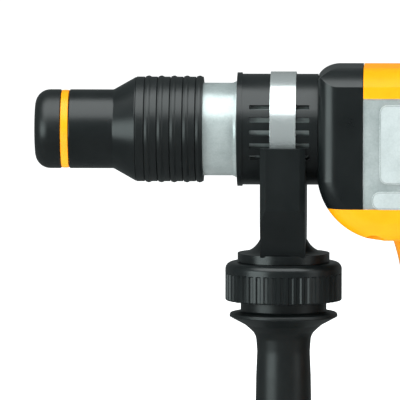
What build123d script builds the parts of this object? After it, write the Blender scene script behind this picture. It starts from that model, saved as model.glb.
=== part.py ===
from build123d import *
import os
from math import acos, cos, degrees, pi, radians, sin, sqrt, tan

# Demolition hammer, in millimetres. X runs back along the hammer axis from the mouth of the tool
# socket, Z is up and Y is to the user's right. The motor stands upright below the gear case, and a
# crank turns its rotation into the strokes of a piston that drives a ram on a cushion of air.

# ---------------------------------------------------------------- clearances
seat_gap = 0.02  # fixed pieces in their seats
run_gap = 0.05  # shafts in bearings, pistons in the cylinder
move_gap = 0.3  # neighbours that move past each other

# ---------------------------------------------------------------- tool holder
shank_radius = 9.0
shank_gap = 0.1
guide_length = 30.0
key_relief = 0.4
key_width = 4.0
key_height = 1.9
key_setback = 10.0
key_length = 36.0
key_angles = (90, 215, 325)
socket_depth = 84.0
holder_radius = 15.0
collar_setback = 96.0
collar_radius = 20.0
collar_length = 26.0
anvil_room_radius = 14.5
anvil_room_wall = 4.0
spring_stop_width = 3.0
bar_length = 8.0
bar_width = 7.0
bar_reach = 1.8
bar_proud = 0.2
bar_lift = 2.2
bar_setback = 20.7
cam_guide = 3.0
spring_wire = 1.1
spring_turns = 5
sleeve_travel = 9.0

# ---------------------------------------------------------------- nose
cap_lip = 5.0
cap_length = 16.9
cap_radius = 25.7
cap_face_radius = 15.8
cap_hole_gap = 0.6
ring_width = 4.9
ring_radius = 25.4
ring_wall = 3.0
sleeve_nose_radius = 25.7
sleeve_nose_length = 28.7
sleeve_cone_length = 14.9
sleeve_grip_length = 43.6
sleeve_radius = 34.1
sleeve_wall = 2.4
sleeve_skirt_wall = 1.4
boot_thickness = 1.8
bead_count = 5
bead_pitch = 8.3
bead_width = 4.2
bead_height = 0.7
bead_setback = 2.3
bead_crease = 0.6

# ---------------------------------------------------------------- barrel and vent sleeve
barrel_radius = 30.2
barrel_overlap = 27.0
barrel_shown = 22.1
barrel_step = 1.4
barrel_flare = 3.0
barrel_wall = 5.0
barrel_seat = 10.0
bush_length = 14.0
bush_wall = 4.0
vent_length = 52.6
vent_radius = 36.1
vent_wall = 2.6
vent_lip_height = 0.9
vent_lip_width = 3.2
vent_web = 2.4
slot_count = 5
slot_pitch = 13.5
slot_centre = 0.2
slot_height = 3.3
slot_corner = 0.5
slot_length = 38.8
slot_setback = 8.4
flange_thickness = 7.0
flange_setback = 12.7
flange_half_width = 40.0
flange_half_height = 33.0
flange_corner = 9.0
flange_screw_y = 34.0
flange_screw_z = 16.0
screw_shank = 3.0
screw_head = 5.0
screw_head_height = 6.0
flange_screw_length = 15.0

# ---------------------------------------------------------------- gear case and covers
body_half_width = 46.0
body_top = 41.7
body_length = 132.4
crease_height = 30.6
roof_half_width = 22.0
roof_bulge = 3.0
panel_top = 23.0
panel_bottom = -48.6
cover_length = 29.6
cover_wall = 3.0
cover_corner = 13.0
cover_gap = 0.4
shoulder_radius = 20.0
shoulder_bite = 4.3
chin_radius = 44.8
chin_bite = 0.45
chin_rise = 23.6
rear_cover_depth = 14.0
panel_inset = 1.0
pad_height = 1.2
pad_corner = 5.0
pad_gap = 5.2
upper_pad_setback = 10.7
upper_pad_top_gap = 4.1
lower_pad_setback = 5.8
lower_pad_height = 11.4
case_wall = 3.3
case_roof = 26.0
nose_step = 4.5
crank_room_half_width = 27.0
crank_room_tail = 30.0
lid_thickness = 4.0
lid_margin = 9.0
bridge_half_width = 40.0
column_radius = 9.0
column_x_setback = 37.7
column_y = 36.0
column_bore = 6.0
column_screw_length = 22.0
column_shoulder = 8.0

# ---------------------------------------------------------------- crank drive
cylinder_radius = 17.0
cylinder_wall = 4.0
cylinder_setback = 1.5
crank_radius = 12.0
rod_length = 58.0
rod_thickness = 12.0
rod_half_width = 4.6
big_end_radius = 11.0
small_end_radius = 8.0
wrist_radius = 4.0
crank_pin_radius = 6.0
piston_nose = 14.0
piston_skirt = 14.0
piston_hollow = 12.0
oring_radius = 1.3
ram_length = 30.0
ram_cup = 10.0
air_gap = 5.0
anvil_tail_radius = 11.0
anvil_flange_width = 6.0
anvil_flange_setback = 6.0
anvil_travel = 5.0
web_radius = 22.0
web_thickness = 10.0
web_drop = 6.0
journal_radius = 8.5
upper_race_radius = 20.0
upper_race_height = 12.0
tail_radius = 6.0
lower_race_radius = 14.0
lower_race_height = 8.0
gear_module = 1.125
gear_teeth = 56
pinion_teeth = 8
gear_width = 10.0
tooth_tip = 0.65
pinion_shift = 0.4
tooth_play = 0.16
pressure_angle = 20.0
undercut = 0.76

# ---------------------------------------------------------------- motor
motor_radius = 46.0
motor_wall = 3.0
motor_split = -190.0
base_level = -225.0
cap_vents = 20
field_bore = 26.6
field_flat = 37.0
armature_radius = 26.0
core_top = -94.0
core_length = 58.0
winding_overhang = 7.0
fan_radius = 36.0
fan_height = 12.0
fan_blades = 11
shaft_radius = 7.0
motor_race_radius = 16.0
motor_race_height = 10.0
tail_shaft_radius = 4.0
tail_race_radius = 11.0
tail_race_height = 8.0
tail_race_bottom = -204.0
commutator_radius = 14.0
commutator_length = 18.0
brush_width = 8.0
brush_height = 12.0
brush_length = 16.0
brush_cap_radius = 7.5
holder_wall = 1.5

# ---------------------------------------------------------------- rear handle
arm_half_width = 17.0
handle_wall = 3.0
handle_edge = 6.0
handle_depth = 117.3
grip_skin = 1.8
handle_corner = 14.0
trigger_half_width = 6.5
trigger_angle = 8.0
button_radius = 4.0
button_travel = 3.0
dial_radius = 11.0
dial_width = 7.0
cord_radius = 5.0
cord_bush_radius = 8.0
cord_bush_length = 20.0

# ---------------------------------------------------------------- side handle
handle_setback = 30.0
band_width = 16.8
band_thickness = 1.2
band_gap = 6.0
band_tab_length = 17.0
bracket_half_length = 14.6
bracket_half_width = 42.0
bracket_top = -9.8
bracket_waist = -50.0
bracket_neck = -74.0
bracket_neck_width = 17.0
bracket_ankle = 27.5
bracket_chamfer = 3.6
bracket_foot = -80.6
bracket_base = -86.2
bracket_foot_radius = 30.0
wheel_radius = 38.0
wheel_height = 25.0
wheel_edge = 4.0
wheel_grooves = 44
groove_radius = 0.9
groove_drop = 6.0
neck_radius = 28.0
neck_height = 6.7
guard_radius = 35.4
grip_waist_radius = 17.2
grip_radius = 18.5
grip_foot_radius = 12.0
stud_radius = 4.0
stud_end = -150.0
bolt_head_radius = 3.0
bolt_head_half_width = 9.0

# ---------------------------------------------------------------- stations along the axis
ring_front = cap_length - cap_lip + move_gap
sleeve_front = ring_front + ring_width + move_gap
cone_front = sleeve_front + sleeve_nose_length
boot_front = cone_front + sleeve_cone_length
sleeve_end = boot_front + sleeve_grip_length
bar_front = sleeve_front + bar_setback
bar_end = bar_front + bar_length
barrel_front = sleeve_end - barrel_overlap
vent_front = sleeve_end + barrel_shown
vent_end = vent_front + vent_length
cover_front = vent_end
panel_front = cover_front + cover_length
body_end = cover_front + body_length
body_back = body_end + rear_cover_depth
flange_front = vent_end + flange_setback
case_front = flange_front + flange_thickness
collar_end = collar_setback + collar_length
motor_x = body_back - motor_radius
gear_distance = gear_module * (gear_teeth + pinion_teeth) / 2
crank_x = motor_x - gear_distance
pin_x = crank_x + crank_radius
wrist_x = pin_x - rod_length
piston_front = wrist_x - piston_nose
piston_end = wrist_x + piston_skirt
ram_end = piston_front - air_gap
ram_front = ram_end - ram_length
anvil_end = ram_front - 2 * crank_radius - 1.0
cylinder_front = collar_end + cylinder_setback
cylinder_end = piston_end - 4.0
handle_x = vent_front + handle_setback

# ---------------------------------------------------------------- levels above the hammer axis
cylinder_outer = cylinder_radius + cylinder_wall
rod_level = rod_thickness / 2
web_top = -rod_level - web_drop
web_bottom = web_top - web_thickness
upper_race_top = web_bottom - 1.0
upper_race_bottom = upper_race_top - upper_race_height
gear_top = upper_race_bottom - 3.0
gear_bottom = gear_top - gear_width
lower_race_top = panel_bottom - 0.4
lower_race_bottom = lower_race_top - lower_race_height
chin_bottom = panel_bottom + chin_rise - chin_radius
bridge_bottom = chin_bottom + cover_wall + cover_gap
motor_race_bottom = bridge_bottom + 0.6
motor_race_top = motor_race_bottom + motor_race_height
fan_top = bridge_bottom - 4.4
core_bottom = core_top - core_length
commutator_top = core_bottom - winding_overhang - 2.0
commutator_bottom = commutator_top - commutator_length
brush_level = (commutator_top + commutator_bottom) / 2
tail_race_top = tail_race_bottom + tail_race_height
motor_bore = motor_radius - motor_wall
wheel_top = bracket_base - move_gap
wheel_bottom = wheel_top - wheel_height
neck_top = wheel_bottom - move_gap
guard_level = neck_top - neck_height - 2.3
band_inner = vent_radius + move_gap
band_outer = band_inner + band_thickness
bar_outer = holder_radius + bar_proud
bar_inner = shank_radius - bar_reach
boot_inner = sleeve_radius - boot_thickness
skirt_inner = boot_inner - sleeve_skirt_wall
sleeve_bore = sleeve_nose_radius - sleeve_wall
cam_front = bar_front - 1.0
cam_end = bar_end + 1.0 + cam_guide

os.makedirs("parts", exist_ok=True)


def upright(x, y=0.0):
    """The plane through an upright axis: its first coordinate is the radius, its second the height."""
    return Plane(origin=(x, y, 0), x_dir=(1, 0, 0), z_dir=(0, -1, 0))


def outline(plane, points):
    """A closed face with straight sides on a plane."""
    with BuildSketch(plane) as shape:
        with BuildLine():
            Polyline(*points, close=True)
        make_face()
    return shape.sketch


def turned_x(points, mode=Mode.ADD):
    """Turns (x, radius) corners about the hammer axis."""
    revolve(outline(Plane.XZ, points), axis=Axis.X, mode=mode)


def turned_z(x, points, mode=Mode.ADD):
    """Turns (radius, height) corners about the upright axis at x."""
    revolve(outline(upright(x), points), axis=Axis((x, 0, 0), (0, 0, 1)), mode=mode)


def block(x_range, y_range, z_range, mode=Mode.ADD):
    """A box between two values on each axis."""
    centre = tuple((low + high) / 2 for low, high in (x_range, y_range, z_range))
    size = [high - low for low, high in (x_range, y_range, z_range)]
    with Locations(centre):
        Box(*size, mode=mode)


def rod_between(start, axis, radius, length, mode=Mode.ADD):
    """A round bar from a point along an axis."""
    with BuildSketch(Plane(origin=start, z_dir=axis)) as face:
        Circle(radius)
    extrude(face.sketch, amount=length, mode=mode)


def cap_screw(seat, axis, length):
    """A socket head screw: its head stands on the seat, towards the axis, and its shank goes down."""
    plane = Plane(origin=seat, z_dir=axis)
    rod_between(seat, axis, screw_head, screw_head_height)
    rod_between(seat, [-value for value in axis], screw_shank, length)
    with BuildSketch(plane.offset(screw_head_height / 2)) as socket:
        RegularPolygon(screw_shank * 0.9, 6)
    extrude(socket.sketch, amount=screw_head_height, mode=Mode.SUBTRACT)


def ball_bearing(x, top, bottom, bore, outer, balls):
    """A ball bearing on an upright axis: two grooved rings and the balls between them."""
    middle = (top + bottom) / 2
    pitch = (bore + outer) / 2
    ball = (outer - bore) * 0.27
    ring = (outer - bore) * 0.3
    turned_z(x, [(bore, bottom), (bore + ring, bottom), (bore + ring, top), (bore, top)])
    turned_z(x, [(outer - ring, bottom), (outer, bottom), (outer, top), (outer - ring, top)])
    with BuildSketch(upright(x)) as track:
        with Locations((pitch, middle)):
            Circle(ball + run_gap)
    revolve(track.sketch, axis=Axis((x, 0, 0), (0, 0, 1)), mode=Mode.SUBTRACT)
    with Locations((x, 0, middle)):
        with PolarLocations(pitch, balls):
            Sphere(ball)


def body_form(inset):
    """The solid inside the whole gear case's outer surface, set in by a wall."""
    front = cover_front + inset
    rear = body_back - inset
    top = body_top - inset
    half = body_half_width - inset
    shoulder_x = cover_front + shoulder_radius - shoulder_bite
    shoulder_z = body_top - shoulder_radius
    shoulder_arc = shoulder_radius - inset
    shoulder_turn = degrees(acos((front - shoulder_x) / shoulder_arc))
    chin_x = cover_front + chin_radius - chin_bite
    chin_z = panel_bottom + chin_rise
    chin_arc = chin_radius - inset
    chin_turn = 360 - degrees(acos((front - chin_x) / chin_arc))
    high = shoulder_z + shoulder_arc * sin(radians(shoulder_turn))
    low = chin_z + chin_arc * sin(radians(chin_turn))
    bottom = chin_z - chin_arc
    with BuildPart() as form:
        with BuildSketch(Plane.XZ):
            with BuildLine():
                Line((front, low), (front, high))
                CenterArc((shoulder_x, shoulder_z), shoulder_arc, 90, shoulder_turn - 90)
                Polyline((shoulder_x, top), (rear, top), (rear, bottom), (chin_x, bottom))
                CenterArc((chin_x, chin_z), chin_arc, chin_turn, 270 - chin_turn)
            make_face()
        extrude(amount=half, both=True)
        rims = faces().filter_by(Axis.Y).edges()
        low_rims = [rim for rim in rims if rim.center().Z < bottom + 1]
        front_rims = [rim for rim in rims if rim.center().X < chin_x - 1 and rim.center().Z < high - 1]
        fillet(low_rims + front_rims, cover_corner - inset)
        with BuildSketch(Plane.YZ):
            roof_mid = ((half + roof_half_width) / 2, (crease_height + top) / 2)
            bulge = (roof_bulge * 0.58, roof_bulge * 0.82)
            right_mid = (roof_mid[0] + bulge[0], roof_mid[1] + bulge[1])
            with BuildLine():
                Polyline((-half, crease_height), (-half, bottom), (half, bottom), (half, crease_height))
                ThreePointArc((half, crease_height), right_mid, (roof_half_width, top))
                Line((roof_half_width, top), (-roof_half_width, top))
                ThreePointArc((-roof_half_width, top), (-right_mid[0], right_mid[1]), (-half, crease_height))
            make_face()
        extrude(amount=body_back, mode=Mode.INTERSECT)
    return form.part


def tooth_half_angle(radius, pitch_radius, half_tooth):
    """Half the angle, in radians, that an involute tooth takes up at a radius."""
    pressure = radians(pressure_angle)
    turn = acos(min(1.0, pitch_radius * cos(pressure) / radius))
    return half_tooth + (tan(pressure) - pressure) - (tan(turn) - turn)


def gear_tooth(teeth, shift):
    """One tooth on the X axis, from below the root circle to the tip, with its radii."""
    pitch_radius = gear_module * teeth / 2
    base = pitch_radius * cos(radians(pressure_angle))
    root = pitch_radius - gear_module * (1.1 - shift)
    tip = pitch_radius + gear_module * (tooth_tip + shift)
    arc = gear_module * (pi / 2 + 2 * shift * tan(radians(pressure_angle))) - tooth_play
    half_tooth = arc / (2 * pitch_radius)
    start = max(base, root)
    radii = (start, (start + tip) / 2, tip)
    flank = [
        (r * cos(tooth_half_angle(r, pitch_radius, half_tooth)),
         r * sin(tooth_half_angle(r, pitch_radius, half_tooth)))
        for r in radii
    ]
    mirrored = [(x, -y) for x, y in flank]
    with BuildSketch() as tooth:
        with BuildLine():
            ThreePointArc(*flank)
            ThreePointArc(flank[2], (tip, 0), mirrored[2])
            ThreePointArc(mirrored[2], mirrored[1], mirrored[0])
            Polyline(mirrored[0], (root * 0.9, mirrored[0][1] * undercut),
                     (root * 0.9, flank[0][1] * undercut), flank[0])
        make_face()
    return tooth.sketch, root


def toothed(x, bottom, height, teeth, shift, turn, bore=0.0):
    """A spur gear on an upright axis."""
    tooth, root = gear_tooth(teeth, shift)
    with BuildSketch(Plane(origin=(x, 0, bottom))) as gear:
        Circle(root)
        with PolarLocations(0, teeth, start_angle=turn):
            add(tooth)
        if bore > 0:
            Circle(bore, mode=Mode.SUBTRACT)
    extrude(gear.sketch, amount=height)


# ================================================================ tool holder and lock
guide_bore = shank_radius + shank_gap
keyed_bore = guide_bore + key_relief
anvil_room_front = collar_setback + anvil_room_wall
spring_stop = barrel_front - 1.0

# steel spindle: keyed tool socket, slots for the lock bars, collar round the anvil's room
with BuildPart() as tool_holder:
    turned_x([
        (0, guide_bore),
        (guide_length, guide_bore),
        (guide_length, keyed_bore),
        (socket_depth, keyed_bore),
        (socket_depth, guide_bore),
        (anvil_room_front, guide_bore),
        (anvil_room_front, anvil_room_radius),
        (collar_end, anvil_room_radius),
        (collar_end, collar_radius),
        (collar_setback, collar_radius),
        (collar_setback, holder_radius),
        (spring_stop, holder_radius),
        (spring_stop, collar_radius + 1),
        (spring_stop - spring_stop_width, collar_radius + 1),
        (spring_stop - spring_stop_width, holder_radius),
        (1, holder_radius),
        (0, holder_radius - 1),
    ])
    key_front = guide_length + key_setback
    with BuildSketch(Plane.YZ.offset(key_front)) as keys:
        for angle in key_angles:
            with PolarLocations(keyed_bore - key_height / 2 + 0.5, 1, start_angle=angle):
                Rectangle(key_height + 1, key_width)
    extrude(keys.sketch, amount=key_length)
    block((bar_front - run_gap, bar_end + run_gap), (-holder_radius, holder_radius),
          (-bar_width / 2 - run_gap, bar_width / 2 + run_gap), Mode.SUBTRACT)
tool_holder.part.label = "tool_holder"
export_step(tool_holder.part, "parts/tool_holder.step")

# two lock bars, which drop through the slots into the grooves of the tool's shank
for side, label in ((-1, "lock_bar_left"), (1, "lock_bar_right")):
    with BuildPart() as lock_bar:
        with BuildSketch(Plane.YZ.offset(bar_front)):
            with Locations((side * (bar_inner + bar_outer) / 2, 0)):
                Rectangle(bar_outer - bar_inner, bar_width)
            inner_corners = vertices().group_by(Axis.X)[0 if side > 0 else -1]
            fillet(inner_corners, bar_width * 0.4)
            Circle(bar_outer, mode=Mode.INTERSECT)
        extrude(amount=bar_length)
    lock_bar.part.label = label
    export_step(lock_bar.part, f"parts/{label}.step")

# cam ring in the sleeve: its ramp lets the bars rise as the sleeve is drawn back
cam_ramp = bar_lift / sleeve_travel
cam_bore = bar_outer + 0.15
with BuildPart() as cam_ring:
    turned_x([
        (cam_end, holder_radius + run_gap),
        (cam_end - cam_guide, holder_radius + run_gap),
        (cam_end - cam_guide, cam_bore),
        (cam_front, cam_bore + cam_ramp * (cam_end - cam_guide - cam_front)),
        (cam_front, sleeve_bore - seat_gap),
        (cam_end, sleeve_bore - seat_gap),
    ])
cam_ring.part.label = "cam_ring"
export_step(cam_ring.part, "parts/cam_ring.step")

# coil spring that pushes the sleeve forward
spring_front = cam_end + 0.2
spring_end = spring_stop - spring_stop_width - 0.2
spring_coil = holder_radius + 3.2
with BuildPart() as sleeve_spring:
    with BuildLine() as coil:
        Helix((spring_end - spring_front - 2 * spring_wire) / spring_turns,
              spring_end - spring_front - 2 * spring_wire, spring_coil,
              center=(spring_front + spring_wire, 0, 0), direction=(1, 0, 0))
    with BuildSketch(Plane(origin=coil.line @ 0, z_dir=coil.line % 0)):
        Circle(spring_wire)
    sweep(path=coil.line, is_frenet=True)
sleeve_spring.part.label = "sleeve_spring"
export_step(sleeve_spring.part, "parts/sleeve_spring.step")

# ================================================================ nose
# rubber dust cap over the holder's mouth
cap_dome = cap_radius - cap_face_radius
with BuildPart() as dust_cap:
    with BuildSketch(Plane.XZ):
        with BuildLine():
            Polyline((-cap_lip, cap_face_radius), (-cap_lip, shank_radius + cap_hole_gap),
                     (-0.1, shank_radius + cap_hole_gap), (-0.1, holder_radius + seat_gap),
                     (cap_length - cap_lip, holder_radius + seat_gap),
                     (cap_length - cap_lip, cap_radius), (cap_dome - cap_lip, cap_radius))
            CenterArc((cap_dome - cap_lip, cap_face_radius), cap_dome, 90, 90)
        make_face()
    revolve(axis=Axis.X)
dust_cap.part.label = "dust_cap"
export_step(dust_cap.part, "parts/dust_cap.step")

# coloured plastic ring, open behind and carried on the holder
with BuildPart() as colour_ring:
    turned_x([
        (ring_front, holder_radius + seat_gap),
        (ring_front + ring_width, holder_radius + seat_gap),
        (ring_front + ring_width, holder_radius + ring_wall),
        (ring_front + ring_width / 2, holder_radius + ring_wall),
        (ring_front + ring_width / 2, ring_radius - ring_wall),
        (ring_front + ring_width, ring_radius - ring_wall),
        (ring_front + ring_width, ring_radius),
        (ring_front, ring_radius),
    ])
colour_ring.part.label = "colour_ring"
export_step(colour_ring.part, "parts/colour_ring.step")

# lock sleeve: the user draws it back to free the tool
skirt_end = sleeve_end - boot_thickness
with BuildPart() as lock_sleeve:
    turned_x([
        (sleeve_front, holder_radius + run_gap),
        (sleeve_front, sleeve_nose_radius),
        (cone_front, sleeve_nose_radius),
        (boot_front, sleeve_radius),
        (boot_front, boot_inner),
        (skirt_end, boot_inner),
        (skirt_end, skirt_inner),
        (boot_front, skirt_inner),
        (cam_end, sleeve_bore),
        (sleeve_front + sleeve_wall, sleeve_bore),
        (sleeve_front + sleeve_wall, holder_radius + run_gap),
    ])
lock_sleeve.part.label = "lock_sleeve"
export_step(lock_sleeve.part, "parts/lock_sleeve.step")

# rubber grip on the sleeve, with raised beads and a crease ahead of each
with BuildPart() as sleeve_grip:
    with BuildSketch(Plane.XZ):
        with BuildLine():
            Polyline((boot_front, boot_inner + seat_gap), (boot_front, sleeve_radius),
                     (sleeve_end - boot_thickness, sleeve_radius))
            CenterArc((sleeve_end - boot_thickness, boot_inner), boot_thickness, 0, 90)
            Polyline((sleeve_end, boot_inner), (sleeve_end, skirt_inner), (skirt_end + seat_gap, skirt_inner),
                     (skirt_end + seat_gap, boot_inner + seat_gap), (boot_front, boot_inner + seat_gap))
        make_face()
        for bead in range(bead_count):
            bead_x = sleeve_end - bead_setback - bead * bead_pitch
            with BuildLine():
                ThreePointArc((bead_x - bead_width / 2, sleeve_radius), (bead_x, sleeve_radius + bead_height),
                              (bead_x + bead_width / 2, sleeve_radius))
                Polyline((bead_x + bead_width / 2, sleeve_radius), (bead_x, sleeve_radius - bead_height),
                         (bead_x - bead_width / 2, sleeve_radius))
            make_face()
            with Locations((bead_x - bead_width / 2 - bead_crease / 2, sleeve_radius)):
                Rectangle(bead_crease, 2 * bead_crease, mode=Mode.SUBTRACT)
    revolve(axis=Axis.X)
sleeve_grip.part.label = "sleeve_grip"
export_step(sleeve_grip.part, "parts/sleeve_grip.step")

# ================================================================ barrel
collar_bore = collar_radius + 0.5
liner_bore = cylinder_outer + seat_gap
bush_front = collar_setback - 2.0 - bush_length
bush_outer = holder_radius + bush_wall
step_radius = barrel_radius + barrel_step
relief_radius = step_radius - barrel_wall
relief_front = cylinder_front + barrel_seat

# cast barrel: holds the front bush and the cylinder, and bolts to the gear case by its flange
with BuildPart() as barrel:
    turned_x([
        (barrel_front, bush_outer + seat_gap),
        (bush_front + bush_length, bush_outer + seat_gap),
        (bush_front + bush_length, collar_bore),
        (collar_end + cylinder_setback / 2, collar_bore),
        (collar_end + cylinder_setback / 2, liner_bore),
        (relief_front, liner_bore),
        (relief_front, relief_radius),
        (flange_front, relief_radius),
        (flange_front, liner_bore),
        (case_front, liner_bore),
        (case_front, step_radius),
        (vent_front, step_radius),
        (vent_front - barrel_flare, barrel_radius),
        (barrel_front + 1, barrel_radius),
        (barrel_front, barrel_radius - 1),
    ])
    with BuildSketch(Plane.YZ.offset(flange_front)):
        RectangleRounded(2 * flange_half_width, 2 * flange_half_height, flange_corner)
        Circle(step_radius - 1, mode=Mode.SUBTRACT)
        for y in (-flange_screw_y, flange_screw_y):
            for z in (-flange_screw_z, flange_screw_z):
                with Locations((y, z)):
                    Circle(screw_shank + seat_gap, mode=Mode.SUBTRACT)
    extrude(amount=flange_thickness)
barrel.part.label = "barrel"
export_step(barrel.part, "parts/barrel.step")

# bronze bush that the tool holder turns in
with BuildPart() as front_bush:
    turned_x([
        (bush_front, holder_radius + run_gap),
        (bush_front + bush_length, holder_radius + run_gap),
        (bush_front + bush_length, bush_outer),
        (bush_front, bush_outer),
    ])
front_bush.part.label = "front_bush"
export_step(front_bush.part, "parts/front_bush.step")

# slotted sleeve round the barrel, which lets cooling air out and carries the side handle
with BuildPart() as vent_sleeve:
    turned_x([
        (vent_front, step_radius + seat_gap),
        (vent_front + vent_web, step_radius + seat_gap),
        (vent_front + vent_web, vent_radius - vent_wall),
        (vent_end - vent_web, vent_radius - vent_wall),
        (vent_end - vent_web, step_radius + seat_gap),
        (vent_end, step_radius + seat_gap),
        (vent_end, vent_radius),
        (vent_front + vent_lip_width, vent_radius),
        (vent_front + vent_lip_width, vent_radius + vent_lip_height),
        (vent_front, vent_radius + vent_lip_height),
    ])
    slot_x = vent_front + slot_setback + slot_length / 2
    for facing in (0, 180):
        for slot in range(slot_count):
            lean = slot_centre + (slot - (slot_count - 1) / 2) * slot_pitch
            outward = (0, -cos(radians(lean)) if facing else cos(radians(lean)), sin(radians(lean)))
            with BuildSketch(Plane(origin=(slot_x, 0, 0), x_dir=(1, 0, 0), z_dir=outward)) as slot_face:
                RectangleRounded(slot_length, slot_height, slot_corner)
            extrude(slot_face.sketch, amount=vent_radius + 2, mode=Mode.SUBTRACT)
vent_sleeve.part.label = "vent_sleeve"
export_step(vent_sleeve.part, "parts/vent_sleeve.step")

# ================================================================ strike train
# hardened cylinder that the ram and the piston run in
with BuildPart() as cylinder:
    turned_x([
        (cylinder_front, cylinder_radius),
        (cylinder_end, cylinder_radius),
        (cylinder_end, cylinder_outer),
        (cylinder_front, cylinder_outer),
    ])
cylinder.part.label = "cylinder"
export_step(cylinder.part, "parts/cylinder.step")

# beat piece: the anvil that passes the ram's blow to the tool
anvil_flange_front = anvil_room_front + anvil_flange_setback
anvil_flange_end = anvil_flange_front + anvil_flange_width
with BuildPart() as beat_piece:
    turned_x([
        (key_front + key_length + anvil_travel + 1, 0),
        (key_front + key_length + anvil_travel + 1, guide_bore - run_gap - 1),
        (key_front + key_length + anvil_travel + 2, guide_bore - run_gap),
        (anvil_flange_front, guide_bore - run_gap),
        (anvil_flange_front, anvil_room_radius - move_gap),
        (anvil_flange_end, anvil_room_radius - move_gap),
        (anvil_flange_end, anvil_tail_radius),
        (anvil_end, anvil_tail_radius),
        (anvil_end, 0),
    ])
beat_piece.part.label = "beat_piece"
export_step(beat_piece.part, "parts/beat_piece.step")


def groove_points(start, end, low, high, groove):
    """Corners of a plunger's outer side with a square groove for an O-ring."""
    return [(start, 0), (start, high), (groove - oring_radius, high), (groove - oring_radius, low),
            (groove + oring_radius, low), (groove + oring_radius, high), (end, high)]


def o_ring(x, radius, section):
    """A rubber ring round the hammer axis."""
    with BuildSketch(Plane.XZ) as face:
        with Locations((x, radius)):
            Circle(section)
    revolve(face.sketch, axis=Axis.X)


plunger_radius = cylinder_radius - run_gap
groove_floor = plunger_radius - 2 * oring_radius
ram_groove = ram_front + ram_length / 2
piston_groove = piston_front + 4.5

# ram: the free steel striker in front of the piston
with BuildPart() as ram:
    turned_x(groove_points(ram_front, ram_end, groove_floor, plunger_radius, ram_groove)
             + [(ram_end, ram_cup), (ram_end - ram_length / 4, ram_cup - 3), (ram_end - ram_length / 4, 0)])
ram.part.label = "ram"
export_step(ram.part, "parts/ram.step")

with BuildPart() as ram_oring:
    o_ring(ram_groove, plunger_radius - oring_radius, oring_radius - run_gap / 2)
ram_oring.part.label = "ram_oring"
export_step(ram_oring.part, "parts/ram_oring.step")

# piston: hollow behind, driven by the connecting rod
with BuildPart() as piston:
    turned_x(groove_points(piston_front, piston_end, groove_floor, plunger_radius, piston_groove)
             + [(piston_end, piston_hollow), (wrist_x - small_end_radius - 1, piston_hollow),
                (wrist_x - small_end_radius - 1, 0)])
    with Locations((wrist_x, 0, 0)):
        Cylinder(wrist_radius + seat_gap, 2 * cylinder_radius, mode=Mode.SUBTRACT)
piston.part.label = "piston"
export_step(piston.part, "parts/piston.step")

with BuildPart() as piston_oring:
    o_ring(piston_groove, plunger_radius - oring_radius, oring_radius - run_gap / 2)
piston_oring.part.label = "piston_oring"
export_step(piston_oring.part, "parts/piston_oring.step")

with BuildPart() as wrist_pin:
    with Locations((wrist_x, 0, 0)):
        Cylinder(wrist_radius, 2 * (plunger_radius - 2))
    chamfer(edges().filter_by(GeomType.CIRCLE), 0.5)
wrist_pin.part.label = "wrist_pin"
export_step(wrist_pin.part, "parts/wrist_pin.step")

# connecting rod: small eye on the wrist pin, big eye over the crank pin
with BuildPart() as connecting_rod:
    with BuildSketch(Plane.XY.offset(-rod_level)):
        with Locations((wrist_x, 0)):
            Circle(small_end_radius)
        with Locations((pin_x, 0)):
            Circle(big_end_radius)
        with Locations(((wrist_x + pin_x) / 2, 0)):
            Rectangle(rod_length, 2 * rod_half_width)
        with Locations((wrist_x, 0)):
            Circle(wrist_radius + run_gap, mode=Mode.SUBTRACT)
        with Locations((pin_x, 0)):
            Circle(crank_pin_radius + run_gap, mode=Mode.SUBTRACT)
    extrude(amount=rod_thickness)
    web_face = (wrist_x + pin_x) / 2
    for z in (-rod_level, rod_level):
        block((web_face - rod_length / 4, web_face + rod_length / 5),
              (-rod_half_width + 1.6, rod_half_width - 1.6), (z - 3, z + 3), Mode.SUBTRACT)
connecting_rod.part.label = "connecting_rod"
export_step(connecting_rod.part, "parts/connecting_rod.step")

# crankshaft: pin, counterweight web, journal and tail. The pin stops just under the rod's big eye.
with BuildPart() as crankshaft:
    with BuildSketch(Plane.XY.offset(web_bottom)):
        with Locations((crank_x, 0)):
            Circle(web_radius)
    extrude(amount=web_thickness)
    block((crank_x, crank_x + web_radius), (big_end_radius, web_radius), (web_bottom, web_top), Mode.SUBTRACT)
    block((crank_x, crank_x + web_radius), (-web_radius, -big_end_radius), (web_bottom, web_top), Mode.SUBTRACT)
    with BuildSketch(Plane.XY.offset(web_top)):
        with Locations((pin_x, 0)):
            Circle(crank_pin_radius)
    extrude(amount=-rod_level - move_gap - web_top)
    turned_z(crank_x, [
        (0, web_bottom),
        (journal_radius + 1.5, web_bottom),
        (journal_radius + 1.5, upper_race_top),
        (journal_radius, upper_race_top),
        (journal_radius, gear_bottom),
        (tail_radius, gear_bottom),
        (tail_radius, lower_race_bottom),
        (0, lower_race_bottom),
    ])
crankshaft.part.label = "crankshaft"
export_step(crankshaft.part, "parts/crankshaft.step")

with BuildPart() as crank_gear:
    toothed(crank_x, gear_bottom, gear_width, gear_teeth, -pinion_shift, 0.0, journal_radius + seat_gap)
    for z, away in ((gear_top, -1), (gear_bottom, 1)):
        turned_z(crank_x, [(journal_radius + 6, z), (journal_radius + 18, z),
                           (journal_radius + 17, z + 2.5 * away), (journal_radius + 7, z + 2.5 * away)],
                 Mode.SUBTRACT)
crank_gear.part.label = "crank_gear"
export_step(crank_gear.part, "parts/crank_gear.step")

with BuildPart() as crank_bearing_upper:
    ball_bearing(crank_x, upper_race_top, upper_race_bottom, journal_radius + seat_gap,
                 upper_race_radius - seat_gap, 8)
crank_bearing_upper.part.label = "crank_bearing_upper"
export_step(crank_bearing_upper.part, "parts/crank_bearing_upper.step")

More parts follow.
